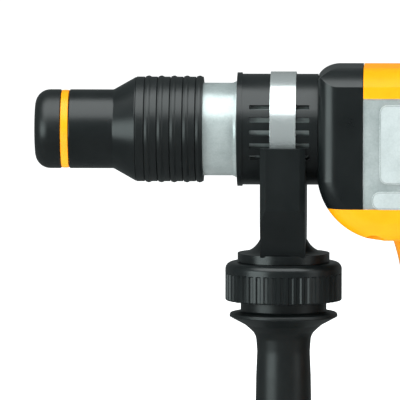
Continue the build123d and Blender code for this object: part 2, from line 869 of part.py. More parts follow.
with BuildPart() as crank_bearing_lower:
    ball_bearing(crank_x, lower_race_top, lower_race_bottom, tail_radius + seat_gap,
                 lower_race_radius - seat_gap, 8)
crank_bearing_lower.part.label = "crank_bearing_lower"
export_step(crank_bearing_lower.part, "parts/crank_bearing_lower.step")

# ================================================================ gear case
panel_half = body_half_width - panel_inset
neck_half = body_half_width - cover_wall - case_wall / 10
crank_room_front = cylinder_end - 1.2
crank_room_end = crank_x + crank_room_tail
lid_front = crank_room_front + 2
column_x = cover_front + column_x_setback

# cast gear housing: a nose inside the front cover, and the bare side panels with their raised pads
with BuildPart() as gear_housing:
    block((case_front, panel_front), (-neck_half, neck_half), (panel_bottom + nose_step, case_roof))
    block((case_front, panel_front), (nose_step - neck_half, neck_half - nose_step),
          (panel_bottom, panel_bottom + nose_step))
    block((panel_front, body_end), (-panel_half, panel_half), (panel_bottom, panel_top))
    block((panel_front, body_end), (-neck_half, neck_half), (panel_top, case_roof))
    upper_pad = (panel_front + upper_pad_setback, body_end - upper_pad_setback,
                 panel_bottom + lower_pad_height + pad_gap, panel_top - upper_pad_top_gap)
    lower_pad = (panel_front + lower_pad_setback, body_end, panel_bottom, panel_bottom + lower_pad_height)
    for side in (-1, 1):
        for left, right, low, high in (upper_pad, lower_pad):
            with BuildSketch(Plane.XZ) as pad:
                with Locations(((left + right) / 2, (low + high) / 2)):
                    RectangleRounded(right - left, high - low, pad_corner)
            extrude(pad.sketch, amount=-side * (panel_half + pad_height))
    with BuildSketch(Plane.YZ.offset(case_front)):
        Circle(liner_bore)
    extrude(amount=crank_room_front - case_front + 1, mode=Mode.SUBTRACT)
    block((crank_room_front, crank_room_end), (-crank_room_half_width, crank_room_half_width),
          (web_bottom - 0.5, case_roof), Mode.SUBTRACT)
    with BuildSketch(Plane.XY.offset(gear_top + 2)):
        with Locations((crank_x, 0)):
            Circle(upper_race_radius)
    extrude(amount=web_bottom - gear_top, mode=Mode.SUBTRACT)
    with BuildSketch(Plane.XY.offset(panel_bottom)):
        with Locations((crank_x, 0)):
            Circle(gear_module * gear_teeth / 2 + 3.5)
        with Locations((motor_x, 0)):
            Circle(gear_module * pinion_teeth / 2 + 6.5)
    extrude(amount=gear_top + 2 - panel_bottom, mode=Mode.SUBTRACT)
    block((crank_room_end + 16, body_end), (-panel_half + 8, panel_half - 8),
          (panel_bottom + 12, panel_top - 8), Mode.SUBTRACT)
    for y in (-flange_screw_y, flange_screw_y):
        for z in (-flange_screw_z, flange_screw_z):
            rod_between((case_front, y, z), (1, 0, 0), screw_shank + seat_gap,
                        flange_screw_length - flange_thickness + 0.5, Mode.SUBTRACT)
    for y in (-column_y, column_y):
        rod_between((column_x, y, panel_bottom), (0, 0, 1), screw_shank + seat_gap,
                    column_screw_length - column_shoulder + 0.5, Mode.SUBTRACT)
gear_housing.part.label = "gear_housing"
export_step(gear_housing.part, "parts/gear_housing.step")

# lid over the crank room
lid_corner = 6.0
with BuildPart() as crankcase_lid:
    with BuildSketch(Plane.XY.offset(case_roof)):
        with Locations(((lid_front + crank_room_end + lid_margin) / 2 - 4, 0)):
            RectangleRounded(crank_room_end + lid_margin - lid_front + 8,
                             2 * (crank_room_half_width + lid_margin), lid_corner)
    extrude(amount=lid_thickness)
    block((lid_front + 8, crank_room_end - 4), (-crank_room_half_width + 4, crank_room_half_width - 4),
          (case_roof + lid_thickness, case_roof + lid_thickness + 2))
crankcase_lid.part.label = "crankcase_lid"
export_step(crankcase_lid.part, "parts/crankcase_lid.step")

# bearing bridge under the gear case: seats of the lower crank bearing and the upper motor bearing
with BuildPart() as bearing_bridge:
    block((crank_x - lower_race_radius - 3, body_end - 4), (-bridge_half_width, bridge_half_width),
          (bridge_bottom, panel_bottom))
    turned_z(crank_x, [(0, panel_bottom + 1), (lower_race_radius, panel_bottom + 1),
                       (lower_race_radius, lower_race_bottom), (0, lower_race_bottom)], Mode.SUBTRACT)
    turned_z(motor_x, [(0, bridge_bottom - 1), (motor_race_radius, bridge_bottom - 1),
                       (motor_race_radius, motor_race_top), (shaft_radius + 2, motor_race_top),
                       (shaft_radius + 2, panel_bottom + 1), (0, panel_bottom + 1)], Mode.SUBTRACT)
    add(body_form(cover_wall + cover_gap), mode=Mode.INTERSECT)
bearing_bridge.part.label = "bearing_bridge"
export_step(bearing_bridge.part, "parts/bearing_bridge.step")

# ================================================================ covers
# black front cover round the barrel's root
with BuildPart() as front_cover:
    add(body_form(0))
    add(body_form(cover_wall), mode=Mode.SUBTRACT)
    split(bisect_by=Plane.YZ.offset(panel_front - cover_gap), keep=Keep.BOTTOM)
    split(bisect_by=Plane.XY.offset(panel_bottom), keep=Keep.TOP)
    with BuildSketch(Plane.YZ.offset(cover_front - 1)):
        Circle(step_radius + seat_gap)
    extrude(amount=cover_wall + 2, mode=Mode.SUBTRACT)
front_cover.part.label = "front_cover"
export_step(front_cover.part, "parts/front_cover.step")

# yellow top cover over the gear case
with BuildPart() as top_cover:
    add(body_form(0))
    add(body_form(cover_wall), mode=Mode.SUBTRACT)
    split(bisect_by=Plane.YZ.offset(panel_front), keep=Keep.TOP)
    split(bisect_by=Plane.YZ.offset(body_end), keep=Keep.BOTTOM)
    split(bisect_by=Plane.XY.offset(panel_top), keep=Keep.TOP)
top_cover.part.label = "top_cover"
export_step(top_cover.part, "parts/top_cover.step")

# black rear cover that the handle is screwed to
with BuildPart() as rear_cover:
    add(body_form(0))
    add(body_form(cover_wall), mode=Mode.SUBTRACT)
    split(bisect_by=Plane.YZ.offset(body_end), keep=Keep.TOP)
    split(bisect_by=Plane.XY.offset(panel_bottom), keep=Keep.TOP)
rear_cover.part.label = "rear_cover"
export_step(rear_cover.part, "parts/rear_cover.step")

# ================================================================ motor housing
# room inside the chin, with two screw columns left standing in it
with BuildPart() as chin_room:
    add(body_form(cover_wall))
    for y in (-column_y, column_y):
        rod_between((column_x, y, chin_bottom), (0, 0, 1), column_radius, panel_bottom - chin_bottom,
                    Mode.SUBTRACT)

with BuildPart() as chin:
    add(body_form(0))
    split(bisect_by=Plane.XY.offset(panel_bottom), keep=Keep.BOTTOM)

boss_angles = (45, 135, 225, 315)
boss_reach = motor_bore - 5
boss_radius = 6.5
vent_height = 14.0
vent_width = 3.4

# yellow motor housing: the chin under the gear case and the upright tube
with BuildPart() as motor_housing:
    add(chin.part)
    with BuildSketch(Plane.XY.offset(motor_split)):
        with Locations((motor_x, 0)):
            Circle(motor_radius)
    extrude(amount=panel_bottom - motor_split)
    add(chin_room.part, mode=Mode.SUBTRACT)
    with BuildSketch(Plane.XY.offset(motor_split)):
        with Locations((motor_x, 0)):
            Circle(motor_bore)
    extrude(amount=chin_bottom + cover_wall + 1 - motor_split, mode=Mode.SUBTRACT)
    with BuildSketch(Plane.XY.offset(motor_split)):
        with Locations((motor_x, 0)):
            with PolarLocations(boss_reach, len(boss_angles), start_angle=boss_angles[0]):
                Circle(boss_radius)
                Circle(screw_shank + seat_gap, mode=Mode.SUBTRACT)
    extrude(amount=column_screw_length)
    for y in (-column_y, column_y):
        rod_between((column_x, y, panel_bottom + 1), (0, 0, -1), screw_shank + seat_gap, 40, Mode.SUBTRACT)
        rod_between((column_x, y, panel_bottom - column_shoulder), (0, 0, -1), column_bore, 40, Mode.SUBTRACT)
    for side in (-1, 1):
        rod_between((motor_x, 0, brush_level), (0, side, 0), brush_cap_radius + seat_gap, motor_radius + 1,
                    Mode.SUBTRACT)
        for turn in (-30, -15, 0, 15, 30):
            vent_plane = Plane(origin=(motor_x, 0, core_top - 4), x_dir=(0, 0, 1),
                               z_dir=(sin(radians(turn)), side * cos(radians(turn)), 0))
            with BuildSketch(vent_plane) as vent:
                SlotOverall(vent_height, vent_width)
            extrude(vent.sketch, amount=motor_radius + 1, mode=Mode.SUBTRACT)
motor_housing.part.label = "motor_housing"
export_step(motor_housing.part, "parts/motor_housing.step")

# black motor cap: the foot of the machine, with air slots and the lower bearing's seat
cap_floor = 4.0
with BuildPart() as motor_cap:
    with BuildSketch(upright(motor_x)):
        with BuildLine():
            Polyline((0, base_level), (motor_radius - 5, base_level))
            CenterArc((motor_radius - 5, base_level + 5), 5, 270, 90)
            Polyline((motor_radius, base_level + 5), (motor_radius, motor_split), (motor_bore, motor_split),
                     (motor_bore, base_level + cap_floor), (tail_race_radius + 4, base_level + cap_floor),
                     (tail_race_radius + 4, tail_race_top), (tail_race_radius, tail_race_top),
                     (tail_race_radius, tail_race_bottom), (tail_shaft_radius + 3, tail_race_bottom),
                     (tail_shaft_radius + 3, tail_race_bottom - 6), (0, tail_race_bottom - 6),
                     (0, base_level))
        make_face()
    revolve(axis=Axis((motor_x, 0, 0), (0, 0, 1)))
    with BuildSketch(Plane.XY.offset(base_level + 6)):
        with Locations((motor_x, 0)):
            with PolarLocations(motor_radius, cap_vents, start_angle=9):
                Rectangle(3 * motor_wall, 3.2)
    extrude(amount=14, mode=Mode.SUBTRACT)
    with BuildSketch(Plane.XY.offset(base_level)):
        with Locations((motor_x, 0)):
            with PolarLocations(boss_reach, len(boss_angles), start_angle=boss_angles[0]):
                Circle(boss_radius)
    extrude(amount=motor_split - base_level)
    with BuildSketch(Plane.XY.offset(base_level)):
        with Locations((motor_x, 0)):
            with PolarLocations(boss_reach, len(boss_angles), start_angle=boss_angles[0]):
                Circle(screw_shank + seat_gap)
    extrude(amount=motor_split - base_level, mode=Mode.SUBTRACT)
    with BuildSketch(Plane.XY.offset(base_level)):
        with Locations((motor_x, 0)):
            with PolarLocations(boss_reach, len(boss_angles), start_angle=boss_angles[0]):
                Circle(screw_head + seat_gap)
    extrude(amount=motor_split - base_level - column_shoulder, mode=Mode.SUBTRACT)
motor_cap.part.label = "motor_cap"
export_step(motor_cap.part, "parts/motor_cap.step")

# all cap screws of the case: barrel flange, chin columns and motor cap
with BuildPart() as case_screws:
    for y in (-flange_screw_y, flange_screw_y):
        for z in (-flange_screw_z, flange_screw_z):
            cap_screw((flange_front, y, z), (-1, 0, 0), flange_screw_length)
    for y in (-column_y, column_y):
        cap_screw((column_x, y, panel_bottom - column_shoulder), (0, 0, -1), column_screw_length)
    for angle in boss_angles:
        place = (motor_x + boss_reach * cos(radians(angle)), boss_reach * sin(radians(angle)),
                 motor_split - column_shoulder)
        cap_screw(place, (0, 0, -1), column_screw_length)
case_screws.part.label = "case_screws"
export_step(case_screws.part, "parts/case_screws.step")

# ================================================================ motor
# armature shaft with the pinion cut in its upper end
with BuildPart() as armature_shaft:
    toothed(motor_x, gear_bottom - 0.5, gear_width + 1, pinion_teeth, pinion_shift, 180 / pinion_teeth)
    turned_z(motor_x, [
        (0, gear_bottom),
        (3, gear_bottom),
        (3, gear_bottom - 0.5),
        (tail_radius - 1, gear_bottom - 1.5),
        (tail_radius - 1, motor_race_top),
        (tail_radius, motor_race_top),
        (tail_radius, motor_race_bottom),
        (shaft_radius, motor_race_bottom),
        (shaft_radius, tail_race_top + 4),
        (tail_shaft_radius, tail_race_top + 4),
        (tail_shaft_radius, tail_race_bottom - 0.5),
        (0, tail_race_bottom - 0.5),
    ])
armature_shaft.part.label = "armature_shaft"
export_step(armature_shaft.part, "parts/armature_shaft.step")

armature_slots = 12
slot_floor = armature_radius - 8
# laminated armature core, slotted for its windings
with BuildPart() as armature_core:
    with BuildSketch(Plane.XY.offset(core_bottom)):
        with Locations((motor_x, 0)):
            Circle(armature_radius)
            Circle(shaft_radius + seat_gap, mode=Mode.SUBTRACT)
            with PolarLocations((slot_floor + armature_radius) / 2, armature_slots):
                Rectangle(armature_radius - slot_floor + 1, 4.4, mode=Mode.SUBTRACT)
    extrude(amount=core_length)
armature_core.part.label = "armature_core"
export_step(armature_core.part, "parts/armature_core.step")

# copper windings: a bar in each slot and a bundle at each end
with BuildPart() as armature_windings:
    with BuildSketch(Plane.XY.offset(core_bottom - winding_overhang)):
        with Locations((motor_x, 0)):
            with PolarLocations((slot_floor + armature_radius) / 2, armature_slots):
                Rectangle(armature_radius - slot_floor - 2, 4.0)
    extrude(amount=core_length + 2 * winding_overhang)
    for low in (core_bottom - winding_overhang, core_top + 0.1):
        high = low + winding_overhang - 0.1
        turned_z(motor_x, [(shaft_radius + 3, low), (armature_radius - 2, low + 1.5),
                           (armature_radius - 2, high - 1.5), (shaft_radius + 3, high)])
armature_windings.part.label = "armature_windings"
export_step(armature_windings.part, "parts/armature_windings.step")

# commutator with its segments cut apart at the surface
segments = 24
with BuildPart() as commutator:
    with BuildSketch(Plane.XY.offset(commutator_bottom)):
        with Locations((motor_x, 0)):
            Circle(commutator_radius)
            Circle(shaft_radius + seat_gap, mode=Mode.SUBTRACT)
            with PolarLocations(commutator_radius, segments):
                Rectangle(2, 0.5, mode=Mode.SUBTRACT)
    extrude(amount=commutator_length)
commutator.part.label = "commutator"
export_step(commutator.part, "parts/commutator.step")

# radial cooling fan
with BuildPart() as fan:
    turned_z(motor_x, [
        (shaft_radius + seat_gap, fan_top - fan_height),
        (shaft_radius + 4, fan_top - fan_height),
        (shaft_radius + 4, fan_top - 2),
        (fan_radius, fan_top - 2),
        (fan_radius, fan_top),
        (shaft_radius + seat_gap, fan_top),
    ])
    with BuildSketch(Plane.XY.offset(fan_top - fan_height)):
        with Locations((motor_x, 0)):
            with PolarLocations((fan_radius + shaft_radius + 8) / 2, fan_blades):
                Rectangle(fan_radius - shaft_radius - 8, 1.8, rotation=28)
    extrude(amount=fan_height)
fan.part.label = "fan"
export_step(fan.part, "parts/fan.step")

with BuildPart() as motor_bearing_upper:
    ball_bearing(motor_x, motor_race_top, motor_race_bottom, tail_radius + seat_gap,
                 motor_race_radius - seat_gap, 8)
motor_bearing_upper.part.label = "motor_bearing_upper"
export_step(motor_bearing_upper.part, "parts/motor_bearing_upper.step")

with BuildPart() as motor_bearing_lower:
    ball_bearing(motor_x, tail_race_top, tail_race_bottom, tail_shaft_radius + seat_gap,
                 tail_race_radius - seat_gap, 7)
motor_bearing_lower.part.label = "motor_bearing_lower"
export_step(motor_bearing_lower.part, "parts/motor_bearing_lower.step")


def sector(x, inner, outer, low, high, middle, half_turn, mode=Mode.ADD):
    """Part of a ring on an upright axis, on both sides of a middle direction."""
    start = Plane(origin=(x, 0, 0), x_dir=(cos(radians(middle - half_turn)), sin(radians(middle - half_turn)), 0),
                  z_dir=(sin(radians(middle - half_turn)), -cos(radians(middle - half_turn)), 0))
    face = outline(start, [(inner, low), (outer, low), (outer, high), (inner, high)])
    revolve(face, axis=Axis((x, 0, 0), (0, 0, 1)), revolution_arc=2 * half_turn, mode=mode)


coil_inner = field_bore + 0.6
coil_outer = field_bore + 6.0
pole_half_turn = 61.0
# laminated field core: two poles, flats for the cooling air, windows for the coils
with BuildPart() as field_core:
    with BuildSketch(Plane.XY.offset(core_bottom)):
        with Locations((motor_x, 0)):
            Circle(motor_bore - seat_gap)
            Rectangle(2 * motor_bore, 2 * field_flat, mode=Mode.INTERSECT)
            Circle(field_bore, mode=Mode.SUBTRACT)
    extrude(amount=core_length)
    for middle in (90, 270):
        sector(motor_x, field_bore - 1, coil_outer + 0.4, core_bottom, core_top, middle,
               90 - pole_half_turn, Mode.SUBTRACT)
field_core.part.label = "field_core"
export_step(field_core.part, "parts/field_core.step")

# two copper field coils, one round each pole
with BuildPart() as field_windings:
    for middle in (0, 180):
        sector(motor_x, coil_inner, coil_outer, core_bottom - winding_overhang, core_top + winding_overhang,
               middle, 88)
        sector(motor_x, coil_inner - 1, coil_outer + 1, core_bottom - 0.4, core_top + 0.4,
               middle, pole_half_turn + 1, Mode.SUBTRACT)
field_windings.part.label = "field_windings"
export_step(field_windings.part, "parts/field_windings.step")

# brushes, their brass holders and the caps in the housing wall
brush_start = commutator_radius + move_gap
holder_start = brush_start + 3
holder_end = motor_radius - motor_wall - 3
with BuildPart() as brush_holders:
    for side in (-1, 1):
        near, far = sorted((side * holder_start, side * holder_end))
        block((motor_x - brush_width / 2 - holder_wall, motor_x + brush_width / 2 + holder_wall), (near, far),
              (brush_level - brush_height / 2 - holder_wall, brush_level + brush_height / 2 + holder_wall))
    for side in (-1, 1):
        near, far = sorted((side * (holder_start - 1), side * (holder_end + 1)))
        block((motor_x - brush_width / 2 - run_gap, motor_x + brush_width / 2 + run_gap), (near, far),
              (brush_level - brush_height / 2 - run_gap, brush_level + brush_height / 2 + run_gap),
              Mode.SUBTRACT)
brush_holders.part.label = "brush_holders"
export_step(brush_holders.part, "parts/brush_holders.step")

for side, label in ((-1, "brush_left"), (1, "brush_right")):
    near, far = sorted((side * brush_start, side * (brush_start + brush_length)))
    with BuildPart() as brush:
        block((motor_x - brush_width / 2, motor_x + brush_width / 2), (near, far),
              (brush_level - brush_height / 2, brush_level + brush_height / 2))
    brush.part.label = label
    export_step(brush.part, f"parts/{label}.step")

with BuildPart() as brush_caps:
    for side in (-1, 1):
        rod_between((motor_x, side * (holder_end + 0.3), brush_level), (0, side, 0), brush_cap_radius,
                    motor_radius - holder_end)
        near, far = sorted((side * (motor_radius - 1.2), side * (motor_radius + 2)))
        block((motor_x - 5, motor_x + 5), (near, far), (brush_level - 0.8, brush_level + 0.8), Mode.SUBTRACT)
brush_caps.part.label = "brush_caps"
export_step(brush_caps.part, "parts/brush_caps.step")

# ================================================================ rear handle
grip_back = body_back + handle_depth
arm_top = 36.0
arm_low = 8.0
grip_inner = grip_back - 41.0
trigger_top = -16.0
trigger_bottom = -60.0
trigger_pivot = (grip_inner + 2, trigger_top + 4)


def handle_sketch(inset):
    """The handle's side view: an arm at the top, the upright grip and an arm to the motor."""
    with BuildSketch(Plane.XZ) as view:
        with BuildLine():
            Polyline((body_back, arm_top), (grip_back - 33, arm_top - 2), (grip_back - 2, 4),
                     (grip_back, -100), (grip_back - 18, -142), (body_back, -160),
                     (body_back - 12, -160), (body_back - 12, -128), (body_back, -128),
                     (grip_inner - 16, -118), (grip_inner, -100), (grip_inner - 2, -8),
                     (grip_inner - 14, arm_low - 2), (body_back, arm_low), close=True)
        make_face()
        ends = [body_back, body_back - 12]
        corners = [v for v in vertices() if min(abs(v.X - x) for x in ends) > 0.01]
        fillet(corners, handle_corner * 0.8)
        if inset:
            offset(amount=-inset, kind=Kind.INTERSECTION)
    return view.sketch


screw_places = (
    (body_back + 13, 21.5),
    (grip_inner - 20, 21.5),
    (grip_inner + 11, 12.0),
    (grip_inner + 12, -80.0),
    (grip_inner - 4, -127.0),
    (body_back + 24, -140.0),
)
cord_place = (grip_inner + 8, 0, -152.0)
button_place = (grip_inner + 10, -2.5)
dial_place = (body_back + 33, arm_top - 9)
dial_stub = 9.0
pivot_radius = 2.0
trigger_stub = arm_half_width - 1.5
switch_box = ((grip_inner + 14, grip_inner + 31), (-11, 11), (-60, -12))

with BuildPart() as handle_blank:
    extrude(handle_sketch(0), amount=arm_half_width, both=True)
    chamfer(edges().filter_by(Plane.XZ).group_by(Axis.Y)[0]
            + edges().filter_by(Plane.XZ).group_by(Axis.Y)[-1], handle_edge * 0.6)

# rubber overmould round the back of the grip
with BuildPart() as handle_grip:
    extrude(handle_sketch(-grip_skin), amount=arm_half_width + grip_skin, both=True)
    chamfer(edges().filter_by(Plane.XZ).group_by(Axis.Y)[0]
            + edges().filter_by(Plane.XZ).group_by(Axis.Y)[-1], handle_edge * 0.6)
    split(bisect_by=Plane.YZ.offset(grip_back - 22), keep=Keep.TOP)
    split(bisect_by=Plane.XY.offset(-98), keep=Keep.TOP)
    split(bisect_by=Plane.XY.offset(-6), keep=Keep.BOTTOM)
    add(handle_blank.part, mode=Mode.SUBTRACT)
handle_grip.part.label = "handle_grip"
export_step(handle_grip.part, "parts/handle_grip.step")

with BuildPart() as handle_shell:
    add(handle_blank.part)
    extrude(handle_sketch(handle_wall), amount=arm_half_width - handle_wall, both=True, mode=Mode.SUBTRACT)
    for x, z in screw_places:
        rod_between((x, -arm_half_width + 1, z), (0, 1, 0), 5.5, 2 * arm_half_width - 2)
    rod_between((motor_x, 0, -170), (0, 0, 1), motor_radius + seat_gap, 50, Mode.SUBTRACT)
    for x, z in screw_places:
        rod_between((x, -arm_half_width - 1, z), (0, 1, 0), 4.2, 5, Mode.SUBTRACT)
        rod_between((x, -arm_half_width, z), (0, 1, 0), 2 + seat_gap, arm_half_width + 10, Mode.SUBTRACT)
    block((grip_inner - 14, grip_inner + 13), (-trigger_half_width - 0.5, trigger_half_width + 0.5),
          (trigger_bottom - 2.5, trigger_top + 8), Mode.SUBTRACT)
    rod_between((button_place[0], -arm_half_width - 1, button_place[1]), (0, 1, 0), button_radius + run_gap, 8,
                Mode.SUBTRACT)
    rod_between((dial_place[0], -dial_width / 2 - 0.5, dial_place[1]), (0, 1, 0), dial_radius + 0.6,
                dial_width + 1, Mode.SUBTRACT)
    for side in (-1, 1):
        rod_between((dial_place[0], side * (dial_width / 2 + 0.5), dial_place[1]), (0, side, 0), 5,
                    arm_half_width - handle_wall - dial_width / 2)
    rod_between((dial_place[0], -dial_stub, dial_place[1]), (0, 1, 0), pivot_radius + run_gap,
                2 * dial_stub, Mode.SUBTRACT)
    rod_between((trigger_pivot[0], -trigger_stub - 0.2, trigger_pivot[1]), (0, 1, 0), pivot_radius + run_gap,
                2 * trigger_stub + 0.4, Mode.SUBTRACT)
    rod_between(cord_place, (0, 0, 1), cord_bush_radius + seat_gap, cord_bush_length, Mode.SUBTRACT)

for keep, label in ((Keep.TOP, "handle_left_shell"), (Keep.BOTTOM, "handle_right_shell")):
    with BuildPart() as handle_half:
        add(handle_shell.part)
        split(bisect_by=Plane.XZ, keep=keep)
    handle_half.part.label = label
    export_step(handle_half.part, f"parts/{label}.step")

# trigger: a rocker on two stubs in the shells
with BuildPart() as trigger:
    with BuildSketch(Plane.XZ):
        with BuildLine():
            Polyline((trigger_pivot[0] - 7, trigger_top - 4), (trigger_pivot[0] - 5, trigger_top + 6),
                     (trigger_pivot[0] + 4, trigger_top + 6), (trigger_pivot[0] + 4, trigger_bottom),
                     (trigger_pivot[0] - 10, trigger_bottom))
            ThreePointArc((trigger_pivot[0] - 10, trigger_bottom),
                          (trigger_pivot[0] - 10, (trigger_top + trigger_bottom) / 2 - 4),
                          (trigger_pivot[0] - 7, trigger_top - 4))
        make_face()
    extrude(amount=trigger_half_width, both=True)
    chamfer(edges().filter_by(Axis.Z).group_by(Axis.X)[0], 1.5)
    rod_between((trigger_pivot[0], -trigger_stub, trigger_pivot[1]), (0, 1, 0), pivot_radius,
                2 * trigger_stub)
trigger.part.label = "trigger"
export_step(trigger.part, "parts/trigger.step")

with BuildPart() as switch_module:
    block(*switch_box)
    chamfer(edges().filter_by(Axis.Z), 1)
    for z in (switch_box[2][0] + 8, switch_box[2][1] - 8):
        block((switch_box[0][1] - 1, switch_box[0][1] + 3), (-3, 3), (z - 0.5, z + 0.5))
switch_module.part.label = "switch_module"
export_step(switch_module.part, "parts/switch_module.step")

# lock button in the left shell, with a flange that keeps it in
with BuildPart() as lock_button:
    rod_between((button_place[0], -arm_half_width - button_travel + 0.3, button_place[1]), (0, 1, 0),
                button_radius, button_travel + 5)
    rod_between((button_place[0], -arm_half_width + handle_wall + 0.2, button_place[1]), (0, 1, 0),
                button_radius + 1, 1.6)
    chamfer(edges().filter_by(GeomType.CIRCLE).group_by(Axis.Y)[0], 0.6)
lock_button.part.label = "lock_button"
export_step(lock_button.part, "parts/lock_button.step")

# speed dial: a ribbed thumbwheel that stands out of the top arm
with BuildPart() as speed_dial:
    with BuildSketch(Plane.XZ.offset(-dial_width / 2)):
        with Locations(dial_place):
            Circle(dial_radius)
            with PolarLocations(dial_radius, 30):
                Circle(0.5, mode=Mode.SUBTRACT)
    extrude(amount=dial_width)
    rod_between((dial_place[0], -dial_stub + 0.3, dial_place[1]), (0, 1, 0), pivot_radius,
                2 * dial_stub - 0.6)
speed_dial.part.label = "speed_dial"
export_step(speed_dial.part, "parts/speed_dial.step")

# cord inlet: a bush in the lower corner of the handle
with BuildPart() as cord_inlet:
    with BuildSketch(Plane.XY.offset(cord_place[2])):
        with Locations(cord_place[:2]):
            Circle(cord_bush_radius)
    extrude(amount=cord_bush_length)
    with BuildSketch(Plane.XY.offset(cord_place[2])):
        with Locations(cord_place[:2]):
            Circle(cord_bush_radius + 2.5)
    extrude(amount=3.5)
    with BuildSketch(Plane.XY.offset(cord_place[2])):
        with Locations(cord_place[:2]):
            Circle(cord_radius)
    extrude(amount=cord_bush_length, mode=Mode.SUBTRACT)
cord_inlet.part.label = "cord_inlet"
export_step(cord_inlet.part, "parts/cord_inlet.step")

# cross screws that hold the two handle shells together
with BuildPart() as handle_screws:
    for x, z in screw_places:
        rod_between((x, -arm_half_width + 1, z), (0, 1, 0), 4, 3)
        rod_between((x, -arm_half_width + 4, z), (0, 1, 0), 2, arm_half_width + 5)
        for half_x, half_z in ((2.2, 0.45), (0.45, 2.2)):
            block((x - half_x, x + half_x), (-arm_half_width, -arm_half_width + 2.8),
                  (z - half_z, z + half_z), Mode.SUBTRACT)
handle_screws.part.label = "handle_screws"
export_step(handle_screws.part, "parts/handle_screws.step")

# ================================================================ side handle
tab_end = -band_outer - band_tab_length
bolt_level = tab_end + bolt_head_radius + 2.6
pocket_half_width = bolt_head_half_width + 0.6

# steel clamp band round the vent sleeve, with two tabs for the bolt's cross head
with BuildPart() as handle_band:
    with BuildSketch(Plane.YZ.offset(handle_x - band_width / 2)):
        Circle(band_outer)
        for side in (-1, 1):
            with Locations((side * (band_gap + band_thickness / 2), (tab_end - band_inner) / 2)):
                Rectangle(band_thickness, -band_inner - tab_end)
        Circle(band_inner, mode=Mode.SUBTRACT)
        with Locations((0, -band_inner)):
            Rectangle(2 * band_gap, 10, mode=Mode.SUBTRACT)
    extrude(amount=band_width)
    rod_between((handle_x, -band_gap - 5, bolt_level), (0, 1, 0), bolt_head_radius + seat_gap,
                2 * band_gap + 10, Mode.SUBTRACT)
handle_band.part.label = "handle_band"
export_step(handle_band.part, "parts/handle_band.step")

# clamp bolt: a cross head in the tabs and a stud down into the grip
with BuildPart() as clamp_bolt:
    rod_between((handle_x, -bolt_head_half_width, bolt_level), (0, 1, 0), bolt_head_radius,
                2 * bolt_head_half_width)
    block((handle_x - 5, handle_x + 5), (-band_gap + 0.3, band_gap - 0.3), (bolt_level - 4, bolt_level + 4))
    rod_between((handle_x, 0, bolt_level), (0, 0, -1), stud_radius, bolt_level - stud_end)
clamp_bolt.part.label = "clamp_bolt"
export_step(clamp_bolt.part, "parts/clamp_bolt.step")

# bracket: two cheeks that cradle the sleeve, a waist and a round foot for the wheel to press on
with BuildPart() as handle_bracket:
    with BuildSketch(Plane.YZ.offset(handle_x - bracket_half_length)):
        with BuildLine():
            Polyline((-bracket_half_width, bracket_top), (bracket_half_width, bracket_top),
                     (bracket_half_width, bracket_waist), (bracket_ankle, bracket_foot - 1),
                     (-bracket_ankle, bracket_foot - 1), (-bracket_half_width, bracket_waist), close=True)
        make_face()
    extrude(amount=2 * bracket_half_length)
    cheek_edges = edges().filter_by(Axis.Z)
    chamfer(cheek_edges, bracket_chamfer)
    with BuildSketch(upright(handle_x)):
        with BuildLine():
            Polyline((bracket_neck_width - 1.5, bracket_neck + 2), (0, bracket_neck + 2), (0, bracket_base),
                     (bracket_foot_radius, bracket_base), (bracket_foot_radius, bracket_foot),
                     (bracket_foot_radius - 2, bracket_foot))
            ThreePointArc((bracket_foot_radius - 2, bracket_foot),
                          (bracket_neck_width + 2.2, (bracket_neck + bracket_foot) / 2 + 0.4),
                          (bracket_neck_width - 1.5, bracket_neck + 2))
        make_face()
    revolve(axis=Axis((handle_x, 0, 0), (0, 0, 1)))
    with BuildSketch(Plane.YZ.offset(handle_x - bracket_half_length)):
        Circle(band_outer + seat_gap)
    extrude(amount=2 * bracket_half_length, mode=Mode.SUBTRACT)
    block((handle_x - band_width / 2 - 0.5, handle_x + band_width / 2 + 0.5),
          (-pocket_half_width, pocket_half_width), (tab_end - 2, -band_inner + 3), Mode.SUBTRACT)
    rod_between((handle_x, 0, tab_end), (0, 0, -1), stud_radius + move_gap, tab_end - bracket_base + 1,
                Mode.SUBTRACT)
handle_bracket.part.label = "handle_bracket"
export_step(handle_bracket.part, "parts/handle_bracket.step")

# clamp wheel: turning it on the stud draws the band tight
with BuildPart() as clamp_wheel:
    with BuildSketch(upright(handle_x)):
        with BuildLine():
            Polyline((wheel_radius, wheel_top - wheel_edge), (wheel_radius, wheel_bottom + 0.8),
                     (wheel_radius - 0.8, wheel_bottom), (wheel_radius - 4, wheel_bottom),
                     (wheel_radius - 5, wheel_bottom + 12), (stud_radius + 7, wheel_bottom + 12),
                     (stud_radius + 6, wheel_bottom), (stud_radius + run_gap, wheel_bottom),
                     (stud_radius + run_gap, wheel_top), (wheel_radius - wheel_edge, wheel_top))
            CenterArc((wheel_radius - wheel_edge, wheel_top - wheel_edge), wheel_edge, 0, 90)
        make_face()
    revolve(axis=Axis((handle_x, 0, 0), (0, 0, 1)))
    with BuildSketch(Plane.XY.offset(wheel_bottom)):
        with Locations((handle_x, 0)):
            with PolarLocations(wheel_radius, wheel_grooves):
                Circle(groove_radius)
    extrude(amount=wheel_height - groove_drop, mode=Mode.SUBTRACT)
clamp_wheel.part.label = "clamp_wheel"
export_step(clamp_wheel.part, "parts/clamp_wheel.step")

